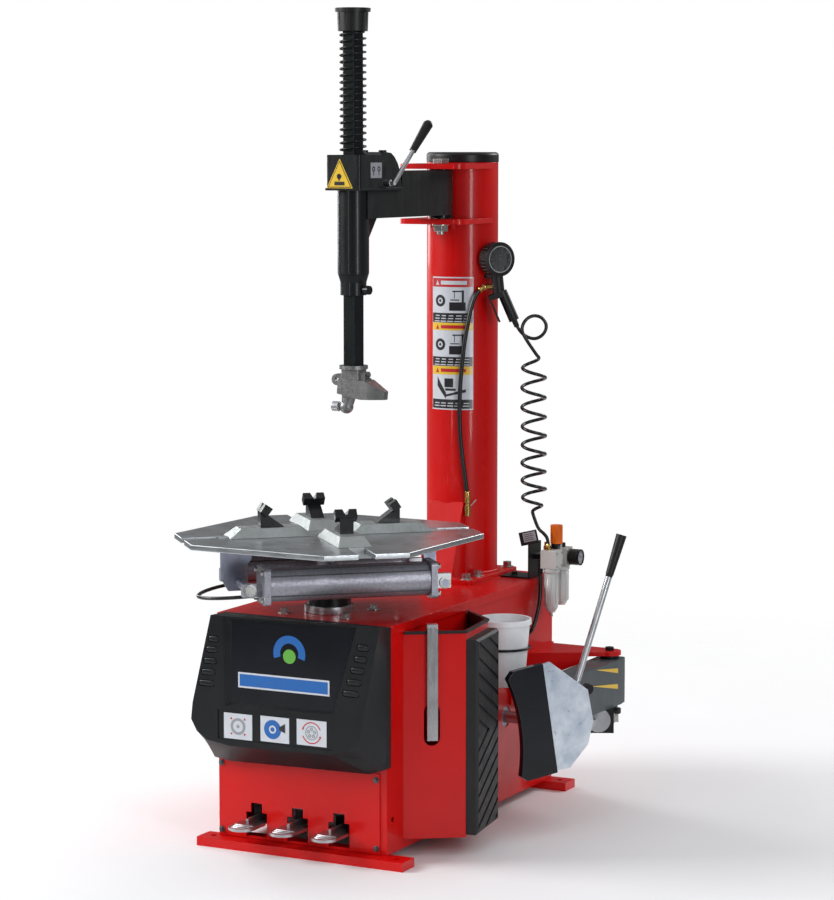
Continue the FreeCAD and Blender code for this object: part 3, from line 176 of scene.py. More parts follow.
def painted(name, colour, shade, roughness, peel=0.00012, film=0.28):
    """Sprayed paint: slow colour drift, orange peel, and a clear upper film with light handling marks."""
    finish = Finish(name, colour, roughness)
    finish.drift(finish.noise(0.25, 6), 0.3, 0.7, colour, shade)
    marks = finish.noise(0.02, 8, 0.7, (1, 1, 0.25))
    finish.vary(marks, 0.35, 0.75, roughness * 0.85, roughness * 1.35)
    finish.put(("Coat Weight", film), ("Coat Roughness", 0.06), ("Specular IOR Level", 0.2))
    finish.bump(finish.noise(0.006, 2), peel)
    return finish.material


def moulded(name, colour, roughness, grain=0.0012, depth=0.00008):
    """Moulded plastic with a fine eroded grain."""
    finish = Finish(name, colour, roughness)
    finish.vary(finish.noise(0.05, 6), 0.3, 0.7, roughness * 0.85, roughness * 1.2)
    lighter = tuple(min(1.0, c * 1.35 + 0.002) for c in colour)
    finish.drift(finish.noise(0.12, 5), 0.35, 0.7, colour, lighter)
    finish.put(("Specular IOR Level", 0.35))
    under = finish.bump(finish.cells(grain), depth, 0.6)
    finish.bump(finish.noise(0.02, 3), 0.0002, 0.5, under)
    return finish.material


def metal(name, colour, roughness, brush=(1, 1, 1), size=0.004, depth=0.00003):
    """Bare metal, brushed along the directions with small stretch values."""
    finish = Finish(name, colour, roughness, 1.0)
    streaks = finish.noise(size, 6, 0.6, brush)
    finish.vary(streaks, 0.3, 0.7, roughness * 0.75, roughness * 1.35)
    darker = tuple(c * 0.72 for c in colour)
    finish.drift(finish.noise(0.06, 7, 0.65), 0.3, 0.7, darker, colour)
    finish.bump(streaks, depth, 0.7)
    return finish.material


def galvanised():
    """Zinc-coated plate: soft pale clouds, a few grey stains and a fine uneven sheen."""
    finish = Finish("galvanised_zinc", (0.6, 0.66, 0.74), 0.38, 0.55)
    clouds = finish.noise(0.05, 7, 0.62)
    colour = finish.between(finish.remap(clouds, 0.36, 0.66), (0.52, 0.6, 0.71), (0.8, 0.86, 0.93))
    finish.drift(finish.noise(0.018, 6, 0.7), 0.62, 0.74, colour, (0.36, 0.38, 0.4))
    finish.vary(clouds, 0.3, 0.7, 0.26, 0.46)
    finish.bump(finish.noise(0.006, 5, 0.6), 0.00008, 0.6)
    return finish.material


def wrinkled_aluminium():
    """Anodised tube with a fine wrinkle in its skin, as drawn cylinders have."""
    finish = Finish("drawn_aluminium", (0.4, 0.4, 0.45), 0.36, 0.5)
    wrinkles = finish.noise(0.006, 4, 0.6)
    finish.drift(wrinkles, 0.35, 0.7, (0.27, 0.27, 0.31), (0.38, 0.38, 0.43))
    finish.vary(wrinkles, 0.3, 0.7, 0.44, 0.34)
    finish.bump(wrinkles, 0.0004, 0.7)
    return finish.material


def soft(name, colour, roughness, dust):
    """Rubber with a dusty bloom."""
    finish = Finish(name, colour, roughness)
    bloom = tuple(c + dust * 0.25 for c in colour)
    finish.drift(finish.noise(0.03, 8, 0.7), 0.5, 0.8, colour, bloom)
    finish.bump(finish.noise(0.0015, 3), 0.00006, 0.6)
    finish.vary(finish.noise(0.02, 6), 0.3, 0.7, roughness * 0.9, roughness * 1.15)
    return finish.material


def clear_bowl():
    """Milky polycarbonate."""
    finish = Finish("clear_bowl", (0.78, 0.8, 0.78), 0.12)
    finish.put(("Transmission Weight", 0.3), ("IOR", 1.45))
    finish.vary(finish.noise(0.02, 5), 0.3, 0.7, 0.06, 0.2)
    return finish.material


def lens_glass():
    """Clear dial glass that shows mostly as a reflection."""
    finish = Finish("lens_glass", (0.9, 0.92, 0.92), 0.05)
    finish.put(("Alpha", 0.12))
    finish.vary(finish.noise(0.01, 4), 0.3, 0.7, 0.03, 0.1)
    return finish.material


def printed(name, colour):
    """Ink or film on a label, with faint unevenness."""
    finish = Finish(name, colour, 0.35)
    faded = tuple(c * 0.9 + 0.01 for c in colour)
    finish.drift(finish.noise(0.02, 5), 0.35, 0.7, colour, faded)
    finish.put(("Coat Weight", 0.3), ("Coat Roughness", 0.15))
    return finish.material


RED = painted("red_paint", (0.62, 0.002, 0.0015), (0.5, 0.0015, 0.0015), 0.34)
BLACK = painted("black_paint", (0.0045, 0.0055, 0.006), (0.008, 0.0095, 0.01), 0.36, 0.0002, 0.15)
GREY = painted("grey_paint", (0.075, 0.09, 0.095), (0.05, 0.062, 0.066), 0.42)
COVER = moulded("cover_plastic", (0.0035, 0.005, 0.006), 0.33, 0.0015, 0.00012)
PLASTIC = moulded("black_plastic", (0.0045, 0.0045, 0.005), 0.42)
GLOSS = moulded("gloss_black_plastic", (0.004, 0.005, 0.008), 0.1, 0.004, 0.00002)
WHITE = moulded("white_plastic", (0.7, 0.72, 0.74), 0.4, 0.003, 0.00004)
ORANGE = moulded("orange_plastic", (0.72, 0.13, 0.005), 0.32, 0.002, 0.00004)
STEEL = metal("brushed_steel", (0.5, 0.51, 0.53), 0.33, (0.12, 1, 1))
TABLE_STEEL = metal("ground_table_steel", (0.56, 0.59, 0.61), 0.32, (0.1, 0.8, 1), 0.006)
SLIDE_STEEL = metal("pressed_slide_steel", (0.42, 0.45, 0.45), 0.5, (1, 1, 0.4), 0.008)
DARK_STEEL = metal("dark_steel", (0.14, 0.14, 0.145), 0.42)
FIN_STEEL = metal("fin_steel", (0.36, 0.38, 0.47), 0.42, (1, 1, 0.15))
CHROME = metal("chrome", (0.62, 0.64, 0.66), 0.36, (1, 1, 0.2), 0.02, 0.0)
LEVER_STEEL = metal("polished_steel", (0.5, 0.5, 0.51), 0.24, (1, 1, 0.05), 0.006, 0.00002)
CAST = metal("cast_iron", (0.12, 0.12, 0.125), 0.5, size=0.006, depth=0.0002)
CASTING = metal("silver_casting", (0.3, 0.3, 0.3), 0.42, size=0.005, depth=0.00015)
UNIT_GREY = moulded("unit_casting", (0.4, 0.4, 0.385), 0.45, 0.003, 0.0001)
BRASS = metal("brass", (0.62, 0.4, 0.12), 0.26)
ZINC = metal("zinc_fastener", (0.52, 0.52, 0.5), 0.3, size=0.003)
GALVANISED = galvanised()
ALUMINIUM = wrinkled_aluminium()
RUBBER = soft("pad_rubber", (0.004, 0.005, 0.006), 0.5, 0.02)
HOSE = soft("hose_rubber", (0.003, 0.004, 0.0045), 0.3, 0.012)
CLEAR = clear_bowl()
LABEL_WHITE = printed("label_white", (0.6, 0.63, 0.68))
LABEL_SILVER = printed("label_silver", (0.3, 0.31, 0.34))
LABEL_RED = printed("label_red", (0.5, 0.008, 0.015))
LABEL_YELLOW = printed("label_yellow", (0.78, 0.5, 0.02))
LABEL_BLACK = printed("label_black", (0.008, 0.008, 0.01))
LABEL_BLUE = printed("label_blue", (0.008, 0.12, 0.42))
LABEL_GREEN = printed("label_green", (0.12, 0.42, 0.05))
GLASS = lens_glass()

FINISHES = {
    RED: "floor_feet cabinet_body top_plate pedal_panel column column_base hinge_plates tool_box "
         "breaker_bracket",
    BLACK: "swing_arm lock_housing hex_shaft return_spring bucket_ring",
    GREY: "motor breaker_arm",
    COVER: "front_cover",
    PLASTIC: "column_cap shaft_cap tool_box_liner air_unit inflator inflator_trigger",
    GLOSS: "blade_cover",
    WHITE: "soap_bucket",
    ORANGE: "regulator_knob",
    STEEL: "shaft_flange table_shaft worm_shaft head_roller pedal_frame pedal_1 pedal_2 pedal_3",
    CASTING: "mount_head",
    TABLE_STEEL: "turntable_plate",
    SLIDE_STEEL: "clamp_slide_right clamp_slide_back clamp_slide_left clamp_slide_front",
    CHROME: "clamp_rods breaker_rod lock_lever",
    LEVER_STEEL: "tyre_lever",
    CAST: "gearbox_housing motor_pulley",
    ZINC: "fixing_bolts hinge_pin",
    GALVANISED: "breaker_blade",
    ALUMINIUM: "clamp_barrels breaker_cylinder",
    RUBBER: "bumper_pad drive_belt",
    HOSE: "clamp_hoses whip_hose curly_hose hose_leads supply_hose",
    BRASS: "whip_chuck",
    CLEAR: "air_bowls",
}
# widths of the rounded edges, and the sharpest bend in degrees that stays unrounded
EDGE = 0.0012
EDGES = {"front_cover": 0.005, "turntable_plate": 0.0018, "tool_box_liner": 0.0008, "soap_bucket": 0.0006,
         "bumper_pad": 0.0008, "mount_head": 0.002, "breaker_arm": 0.002, "hinge_plates": 0.0015,
         "tool_box": 0.0008, "cabinet_body": 0.0008, "blade_cover": 0.0025, "regulator_knob": 0.001}
SMOOTH_ONLY = {"air_bowls", "bucket_ring"}
EDGE_ANGLE = 33
EDGE_ANGLES = {"breaker_blade": 52, "lock_lever": 52, "whip_chuck": 52, "clamp_rods": 52, "inflator": 50}
SAME_POINT = 2e-6
FLAT_ANGLE = 0.6


def placed(name, data):
    """A new object in the scene."""
    made = bpy.data.objects.new(name, data)
    bpy.context.collection.objects.link(made)
    return made


def round_edges(thing, width, degrees):
    """Rounds the edges that bend more sharply than an angle, and evens the shading."""
    bevel = thing.modifiers.new("edges", "BEVEL")
    bevel.width = width
    bevel.segments = 2
    bevel.limit_method = "ANGLE"
    bevel.angle_limit = math.radians(degrees)
    thing.modifiers.new("shading", "WEIGHTED_NORMAL")


def dress(name, material):
    """Gives a frame node its finish, welds its faces and rounds its sharp edges."""
    node = NODES[name]
    node.data.materials.clear()
    node.data.materials.append(material)
    if "custom_normal" in node.data.attributes:
        node.data.attributes.remove(node.data.attributes["custom_normal"])
    for polygon in node.data.polygons:
        polygon.material_index = 0
        polygon.use_smooth = True
    weld = node.modifiers.new("weld", "WELD")
    weld.merge_threshold = SAME_POINT
    if name not in SMOOTH_ONLY:
        planar = node.modifiers.new("planar", "DECIMATE")
        planar.decimate_type = "DISSOLVE"
        planar.angle_limit = math.radians(FLAT_ANGLE)
        planar.delimit = {"MATERIAL"}
        round_edges(node, EDGES.get(name, EDGE), EDGE_ANGLES.get(name, EDGE_ANGLE))


def repaint(name, material, wanted):
    """A second finish on the faces of a node whose centre passes a test."""
    mesh = NODES[name].data
    mesh.materials.append(material)
    index = len(mesh.materials) - 1
    for polygon in mesh.polygons:
        if wanted(polygon.center):
            polygon.material_index = index


for finish_material, names in FINISHES.items():
    for node_name in names.split():
        dress(node_name, finish_material)

# the swing arm's own directions, and the line of the lock lever
ARM_ALONG = at(-0.068621, -0.997643, 0)
ARM_ACROSS = at(0.997643, -0.068621, 0)
LEVER_ELBOW = at(TOOL.x, TOOL.y, 1.452) - ARM_ALONG * 0.078 + ARM_ACROSS * 0.058
LEVER_RISE = (-ARM_ALONG * 0.111 + ARM_ACROSS * 0.025 + Z * 0.1358).normalized()
LEVER_GRIP = 0.0915
# the shovel blade: a point of its working edge, its outward direction, and the handle's foot and direction
BLADE_EDGE = at(0.365, -0.0985, 0.262)
BLADE_OUT = at(0.809, -0.588, 0)
BLADE_HANDLE = at(0.438, 0.0275, 0.3194)
BLADE_LEAN = at(0.194, 0.267, 0.944).normalized()
BLADE_GRIP = 0.277
# the breaker: its hinge line, the heights of its arm and bracket, and the stop bar on the arm's underside
HINGE = at(0.39, 0.3415, 0)
ARM_UNDER = 0.2375
HINGE_UNDER = 0.236
HINGE_SEAT = 0.3519
HINGE_HEAD = 0.3622
STOP_OUT = at(math.sin(math.radians(25)), -math.cos(math.radians(25)), 0)
STOP_SIDE = at(-STOP_OUT.y, STOP_OUT.x, 0)
STOP_FACE = at(0.4023, 0.2512, 0.213)
SWIVEL = at(0.0873, 0.2921, 1.206)
CHUCK_TURN, CHUCK_OUT = -56, 0.096
UNIT_LOW, UNIT_HIGH = 0.5445, 0.5885


def near_line(start, direction, begin, radius=math.inf):
    """A test for points past a place on a line and within a radius of it."""
    def test(point):
        reach = (point - start).dot(direction)
        off = (point - start - direction * reach).length
        return reach > begin and off < radius
    return test


near_hinge = near_line(HINGE, Z, 0, 0.05)
at_hinge_pin = near_line(HINGE, Z, 0, 0.0225)


def is_blade_fork(c):
    return (c - BLADE_EDGE).dot(BLADE_OUT) < -0.006


def is_stop_nut(c):
    return (c - HINGE).dot(STOP_SIDE) > 0.0095 and c.z < ARM_UNDER and (c - HINGE).dot(STOP_OUT) > 0.04


def is_hinge_end(c):
    return c.z > HINGE_HEAD or (c.z < HINGE_SEAT and at_hinge_pin(c))


def is_unit_block(c):
    return 0.2165 < c.x < 0.2585 and UNIT_LOW < c.z < UNIT_HIGH


def is_unit_elbow(c):
    return c.x > 0.222 and c.y < 0.352 and c.z > UNIT_HIGH


def is_chuck_lever(c):
    return c.z > 0.6845 and (c - column_point(CHUCK_TURN, CHUCK_OUT, c.z)).length > 0.0085


for slide in ("right", "back", "left", "front"):
    repaint("clamp_slide_" + slide, BLACK, lambda c: c.z > TABLE_TOP + 0.0202)
    repaint("clamp_slide_" + slide, FIN_STEEL, lambda c: c.z < TABLE_TOP - 0.022)
repaint("lock_lever", PLASTIC, near_line(LEVER_ELBOW, LEVER_RISE, LEVER_GRIP))
repaint("breaker_blade", BLACK, is_blade_fork)
repaint("breaker_blade", CHROME, near_line(BLADE_HANDLE, BLADE_LEAN, 0.006, 0.0085))
repaint("breaker_blade", PLASTIC, near_line(BLADE_HANDLE, BLADE_LEAN, BLADE_GRIP, 0.02))
repaint("breaker_arm", BLACK, lambda c: c.z < ARM_UNDER)
repaint("breaker_arm", STEEL, near_line(STOP_FACE, STOP_OUT, -0.0105, 0.0285))
repaint("breaker_arm", ZINC, is_stop_nut)
repaint("breaker_bracket", BLACK, lambda c: c.z < HINGE_UNDER and near_hinge(c))
repaint("breaker_bracket", BLACK, is_hinge_end)
repaint("shaft_flange", BLACK, lambda c: c.z > 0.534)
repaint("air_unit", UNIT_GREY, is_unit_block)
repaint("air_unit", BRASS, is_unit_elbow)
repaint("inflator", BRASS, lambda c: (c - SWIVEL).length < 0.016)
repaint("whip_chuck", CHROME, is_chuck_lever)
repaint("fixing_bolts", DARK_STEEL, lambda c: c.y < CABINET_Y)


# ---------------- shape helpers
# layers of flat forms: how far their lower and upper sides stand out of the face that they lie on
SHEET = (0.0002, 0.0005)
INK = (0.0004, 0.0007)
FINE_INK = (0.0006, 0.0008)
MARK = (0.0006, 0.0009)
PRINT = (0.0005, 0.0009)
THICK_PRINT = (0.0005, 0.001)
FILM = (0.0, 0.0005)
PLATE = (0.0, 0.0006)
# a dot is a ring round a hole too small to see
PINHOLE = 0.0002
FULL_TURN = 360.0


class Shape:
    """Collects turned, extruded and bolted forms into one mesh piece."""

    def __init__(self):
        self.mesh = bmesh.new()

    def ring(self, centre, axis, radius, sides):
        side = axis.orthogonal().normalized()
        other = axis.cross(side)
        angles = [2 * math.pi * i / sides for i in range(sides)]
        spots = [centre + (side * math.cos(a) + other * math.sin(a)) * radius for a in angles]
        return [self.mesh.verts.new(spot) for spot in spots]

    def skin(self, loops):
        """Walls between neighbouring loops of corners, and both ends filled."""
        count = len(loops[0])
        for first, second in zip(loops, loops[1:]):
            for i in range(count):
                j = (i + 1) % count
                self.mesh.faces.new((first[i], first[j], second[j], second[i]))
        self.mesh.faces.new(loops[0][::-1])
        self.mesh.faces.new(loops[-1])
        return self

    def turned(self, base, axis, profile, sides):
        """A lathe form: profile is a list of (distance along, radius)."""
        axis = axis.normalized()
        return self.skin([self.ring(base + axis * z, axis, r, sides) for z, r in profile])

    def spoke(self, centre, right, up, degrees, inner, outer, depth):
        """A short flat line, 0.8 mm wide, pointing away from a centre and standing out by depth."""
        a = math.radians(degrees)
        ahead = right * math.cos(a) + up * math.sin(a)
        across = -right * math.sin(a) + up * math.cos(a)
        normal = ahead.cross(across).normalized() * depth
        base = centre + ahead * inner
        outline = [(0, -0.0004), (outer - inner, -0.0004), (outer - inner, 0.0004), (0, 0.0004)]
        back = [self.mesh.verts.new(base + ahead * u + across * v) for u, v in outline]
        return self.skin([back, [self.mesh.verts.new(v.co + normal) for v in back]])

    def strip(self, place, span, bottoms, tops, layer, steps=1):
        """A thin four-sided patch on a face; span is (u0, u1), bottoms and tops are v at its two ends."""
        low, high = layer
        columns = []
        for i in range(steps + 1):
            share = i / steps
            u = span[0] + (span[1] - span[0]) * share
            bottom = bottoms[0] + (bottoms[1] - bottoms[0]) * share
            top = tops[0] + (tops[1] - tops[0]) * share
            section = ((bottom, low), (top, low), (top, high), (bottom, high))
            columns.append([self.mesh.verts.new(place(u, v, lift)) for v, lift in section])
        return self.skin(columns)

    def bar(self, place, u0, v0, u1, v1, layer, steps=1):
        return self.strip(place, (u0, u1), (v0, v0), (v1, v1), layer, steps)

    def triangle(self, place, u0, v0, u1, v1, layer):
        """An upright triangle in the rectangle between two corners, with its tips cut to 0.1 mm."""
        half = (u0 + u1) / 2
        self.strip(place, (u0, half), (v0, v0), (v0 + 0.0001, v1), layer)
        return self.strip(place, (half, u1), (v0, v0), (v1, v0 + 0.0001), layer)

    def hoop(self, place, u, v, inner, outer, layer, start=0.0, sweep=FULL_TURN, steps=32):
        """A flat ring, or part of one, laid on a face round the point (u, v)."""
        low, high = layer
        closed = sweep == FULL_TURN
        count = steps if closed else steps + 1
        angles = [math.radians(start + sweep * i / steps) for i in range(count)]
        loops = []
        for radius, lift in ((inner, low), (outer, low), (outer, high), (inner, high)):
            spots = [place(u + radius * math.cos(a), v + radius * math.sin(a), lift) for a in angles]
            loops.append([self.mesh.verts.new(spot) for spot in spots])
        for i in range(steps):
            j = (i + 1) % count
            for k in range(4):
                first, second = loops[k], loops[(k + 1) % 4]
                self.mesh.faces.new((first[i], first[j], second[j], second[i]))
        if not closed:
            for i in (0, -1):
                self.mesh.faces.new([loop[i] for loop in loops])
        return self

    def bolt(self, seat, axis, flats):
        """A chamfered hexagon head on a washer."""
        radius = flats / math.sqrt(3)
        lift = flats * 0.1
        rim = flats * 0.92
        self.turned(seat, axis, [(0, rim), (lift * 0.8, rim), (lift, flats * 0.88)], 32)
        head = [(0, radius), (flats * 0.52, radius), (flats * 0.62, radius * 0.86)]
        return self.turned(seat + axis * lift, axis, head, 6)

    def piece(self, name, body, material, bevel=0.0, angle=35):
        bmesh.ops.recalc_face_normals(self.mesh, faces=self.mesh.faces)
        data = bpy.data.meshes.new(name)
        self.mesh.to_mesh(data)
        self.mesh.free()
        data.materials.append(material)
        data.shade_smooth()
        data.set_sharp_from_angle(angle=math.radians(angle))
        made = placed(name, data)
        if bevel:
            round_edges(made, bevel, angle)
        if body:
            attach(made, body)
        return made


def flat_place(base, right, up):
    """Turns (right, up, out) distances on a flat face into points."""
    out = right.cross(up).normalized()
    return lambda u, v, lift: base + right * u + up * v + out * lift


def round_place(degrees, base):
    """Turns (round, up, out) distances on the column's skin into points."""
    def place(u, v, lift):
        return column_point(degrees + math.degrees(u / COLUMN_R), COLUMN_R + lift, base + v)
    return place


def around(centre, radius, degrees):
    """A point on a circle in a face's own (right, up) distances."""
    a = math.radians(degrees)
    return centre[0] + radius * math.cos(a), centre[1] + radius * math.sin(a)


# ---------------- hoses
def spline_line(points):
    """Points along the smooth line whose control points these are."""
    guide = bpy.data.curves.new("guide", "CURVE")
    guide.dimensions = "3D"
    guide.resolution_u = 24
    add_spline(guide, points)
    holder = placed("guide", guide)
    bpy.context.view_layer.update()
    evaluated = holder.evaluated_get(bpy.context.evaluated_depsgraph_get())
    mesh = bpy.data.meshes.new_from_object(evaluated)
    line = [v.co.copy() for v in mesh.vertices]
    bpy.data.objects.remove(holder)
    return line


def add_spline(curve, points):
    spline = curve.splines.new("NURBS")
    spline.points.add(len(points) - 1)
    for target, point in zip(spline.points, points):
        target.co = (*point, 1)
    spline.order_u = 3
    spline.use_endpoint_u = True


def line_length(line):
    return sum((b - a).length for a, b in zip(line, line[1:]))


def hose(name, points, radius, body):
    curve = bpy.data.curves.new(name, "CURVE")
    curve.dimensions = "3D"
    curve.resolution_u = 8
    curve.bevel_depth = radius
    curve.bevel_resolution = 6
    curve.use_fill_caps = True
    add_spline(curve, points)
    curve.materials.append(HOSE)
    made = placed(name, curve)
    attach(made, body)
    return made


# the whip hose follows the column: degrees round it, and height
WHIP_OUT = 0.096
WHIP_ROUTE = [column_point(degrees, WHIP_OUT, z) for degrees, z in (
    (-35.4, 1.2022), (-42.5, 1.1955), (-50, 1.168), (-56.5, 1.12), (-62, 1.062), (-66, 0.995),
    (-68, 0.92), (-66, 0.845), (-61, 0.775), (-56, 0.7148))]
COIL_ROUTE = [(0.189, 0.35, 1.052), (0.186, 0.351, 0.96), (0.19, 0.349, 0.86), (0.187, 0.351, 0.76),
              (0.192, 0.35, 0.668)]
LEAD_TOP = [(0.1501, 0.3221, 1.1276), (0.158, 0.327, 1.107), (0.173, 0.334, 1.09), (0.194, 0.343, 1.083),
            (0.212, 0.352, 1.094), (0.219, 0.357, 1.116), (0.207, 0.352, 1.136), (0.187, 0.342, 1.14),
            (0.172, 0.33, 1.127), (0.168, 0.322, 1.106), (0.177, 0.326, 1.086)]
LEAD_BOTTOM = [(0.203, 0.3465, 0.635), (0.219, 0.343, 0.627), (0.2315, 0.3405, 0.614),
               (0.232, 0.34, 0.5983)]
SUPPLY_ROUTE = [(0.21, 0.344, 0.5456), (0.211, 0.343, 0.52), (0.213, 0.339, 0.492), (0.214, 0.332, 0.464),
                (0.213, 0.322, 0.438), (0.211, 0.311, 0.414), (0.205, 0.303, 0.396), (0.19, 0.3, 0.386)]
# the clamp cylinders' loop turns with the table: reach along the cylinders, distance across them, height
CLAMP_ROUTE = [table_point(*spot) for spot in (
    (-0.181, -0.092, 0.574), (-0.215, -0.088, 0.571), (-0.262, -0.06, 0.566), (-0.292, -0.02, 0.562),
    (-0.292, 0.02, 0.562), (-0.262, 0.06, 0.566), (-0.215, 0.088, 0.571), (-0.181, 0.092, 0.574))]
COIL_TURNS = 8.5
COIL_R = 0.028
COIL_START = math.radians(-10)
STEPS_PER_TURN = 14


def curly_points():
    """The looped lead from the grip, the turns down the coil's line, and the lead to the filter."""
    line = spline_line(COIL_ROUTE)
    lengths = [0.0]
    for a, b in zip(line, line[1:]):
        lengths.append(lengths[-1] + (b - a).length)
    steps = int(COIL_TURNS * STEPS_PER_TURN)
    turns = []
    for i in range(steps + 1):
        share = i / steps
        travel = lengths[-1] * (0.015 + 0.97 * share)
        k = max(n for n, total in enumerate(lengths[:-1]) if total <= travel)
        part = (travel - lengths[k]) / (lengths[k + 1] - lengths[k])
        centre = line[k].lerp(line[k + 1], part)
        angle = COIL_START + 2 * math.pi * COIL_TURNS * (0.88 * share + 0.12 * share ** 2)
        grow = min(1.0, 0.25 + share * 9, 0.25 + (1 - share) * 9)
        turns.append(centre + at(math.cos(angle), math.sin(angle), 0) * COIL_R * grow)
    return LEAD_TOP + turns + LEAD_BOTTOM


whip = hose("whip_hose_line", WHIP_ROUTE, 0.005, "base")
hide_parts("whip_hose")

curly_route = curly_points()
curly = hose("curly_hose_line", curly_route, 0.004, "base")
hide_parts("curly_hose", "hose_leads")
round(line_length(spline_line(curly_route)), 2)

supply = hose("supply_hose_line", SUPPLY_ROUTE, 0.0045, "base")
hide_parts("supply_hose")

clamp_line = hose("clamp_hose_line", CLAMP_ROUTE, 0.004, "left_slide")
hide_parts("clamp_hoses")
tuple(CLAMP_ROUTE[0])


# ---------------- labels, all plain shapes with no lettering
def column_label():
    """Tall label round the column's front: three blocks of coloured header, symbol and dark footer."""
    place = round_place(-82.5, 0.917)
    half = 0.0535
    Shape().bar(place, -half, 0.0, half, 0.312, SHEET, 24).piece("label_sheet", "base", LABEL_WHITE)
    inside = half - 0.0015
    bands = (("red", LABEL_RED, 0.2885, 0.309), ("dark_top", LABEL_BLACK, 0.205, 0.2275),
             ("yellow_top", LABEL_YELLOW, 0.187, 0.2045), ("dark_mid", LABEL_BLACK, 0.103, 0.1245),
             ("yellow_low", LABEL_YELLOW, 0.083, 0.1025), ("dark_low", LABEL_BLACK, 0.003, 0.0245))
    for name, material, low, high in bands:
        Shape().bar(place, -inside, low, inside, high, INK, 24).piece("label_" + name, "base", material)
    pale = Shape()
    pale.triangle(place, -0.041, 0.293, -0.031, 0.304, MARK)
    pale.bar(place, -0.026, 0.294, 0.038, 0.303, MARK, 10)
    words = ((-0.046, -0.03), (-0.027, -0.012), (-0.009, 0.006), (0.009, 0.026), (0.029, 0.044))
    for low, rows in ((0.207, 3), (0.105, 3), (0.005, 2)):
        for row in range(rows):
            v = low + 0.0065 * row + (0.003 if rows == 2 else 0)
            for start, end in words:
                pale.bar(place, start + 0.002 * row, v, end, v + 0.0022, FINE_INK, 3)
    pale.piece("label_pale_marks", "base", LABEL_WHITE)
    signs = Shape()
    for low in (0.1875, 0.0855):
        signs.triangle(place, -0.041, low + 0.002, -0.031, low + 0.013, MARK)
        signs.bar(place, -0.026, low + 0.0035, 0.036, low + 0.0115, MARK, 10)
    signs.piece("label_header_marks", "base", LABEL_RED)
    dark = Shape()
    for low in (0.228, 0.1255):
        dark.bar(place, -0.004, low + 0.005, 0.035, low + 0.025, INK, 8)
        dark.bar(place, 0.026, low + 0.025, 0.031, low + 0.053, INK, 2)
        dark.bar(place, 0.004, low + 0.049, 0.031, low + 0.052, INK, 6)
        dark.bar(place, 0.008, low + 0.034, 0.0095, low + 0.049, INK)
        dark.bar(place, -0.001, low + 0.029, 0.02, low + 0.0315, INK, 4)
        dark.hoop(place, -0.028, low + 0.028, 0.007, 0.014, INK)
        dark.hoop(place, -0.028, low + 0.028, 0.0005, 0.0035, INK, steps=16)
    dark.strip(place, (-0.036, -0.012), (0.056, 0.026), (0.078, 0.04), INK, 8)
    dark.bar(place, -0.014, 0.045, 0.012, 0.0505, INK, 6)
    dark.bar(place, -0.016, 0.053, 0.006, 0.074, INK, 6)
    dark.strip(place, (-0.012, 0.036), (0.031, 0.042), (0.036, 0.049), INK, 10)
    dark.piece("label_dark_marks", "base", LABEL_BLACK)


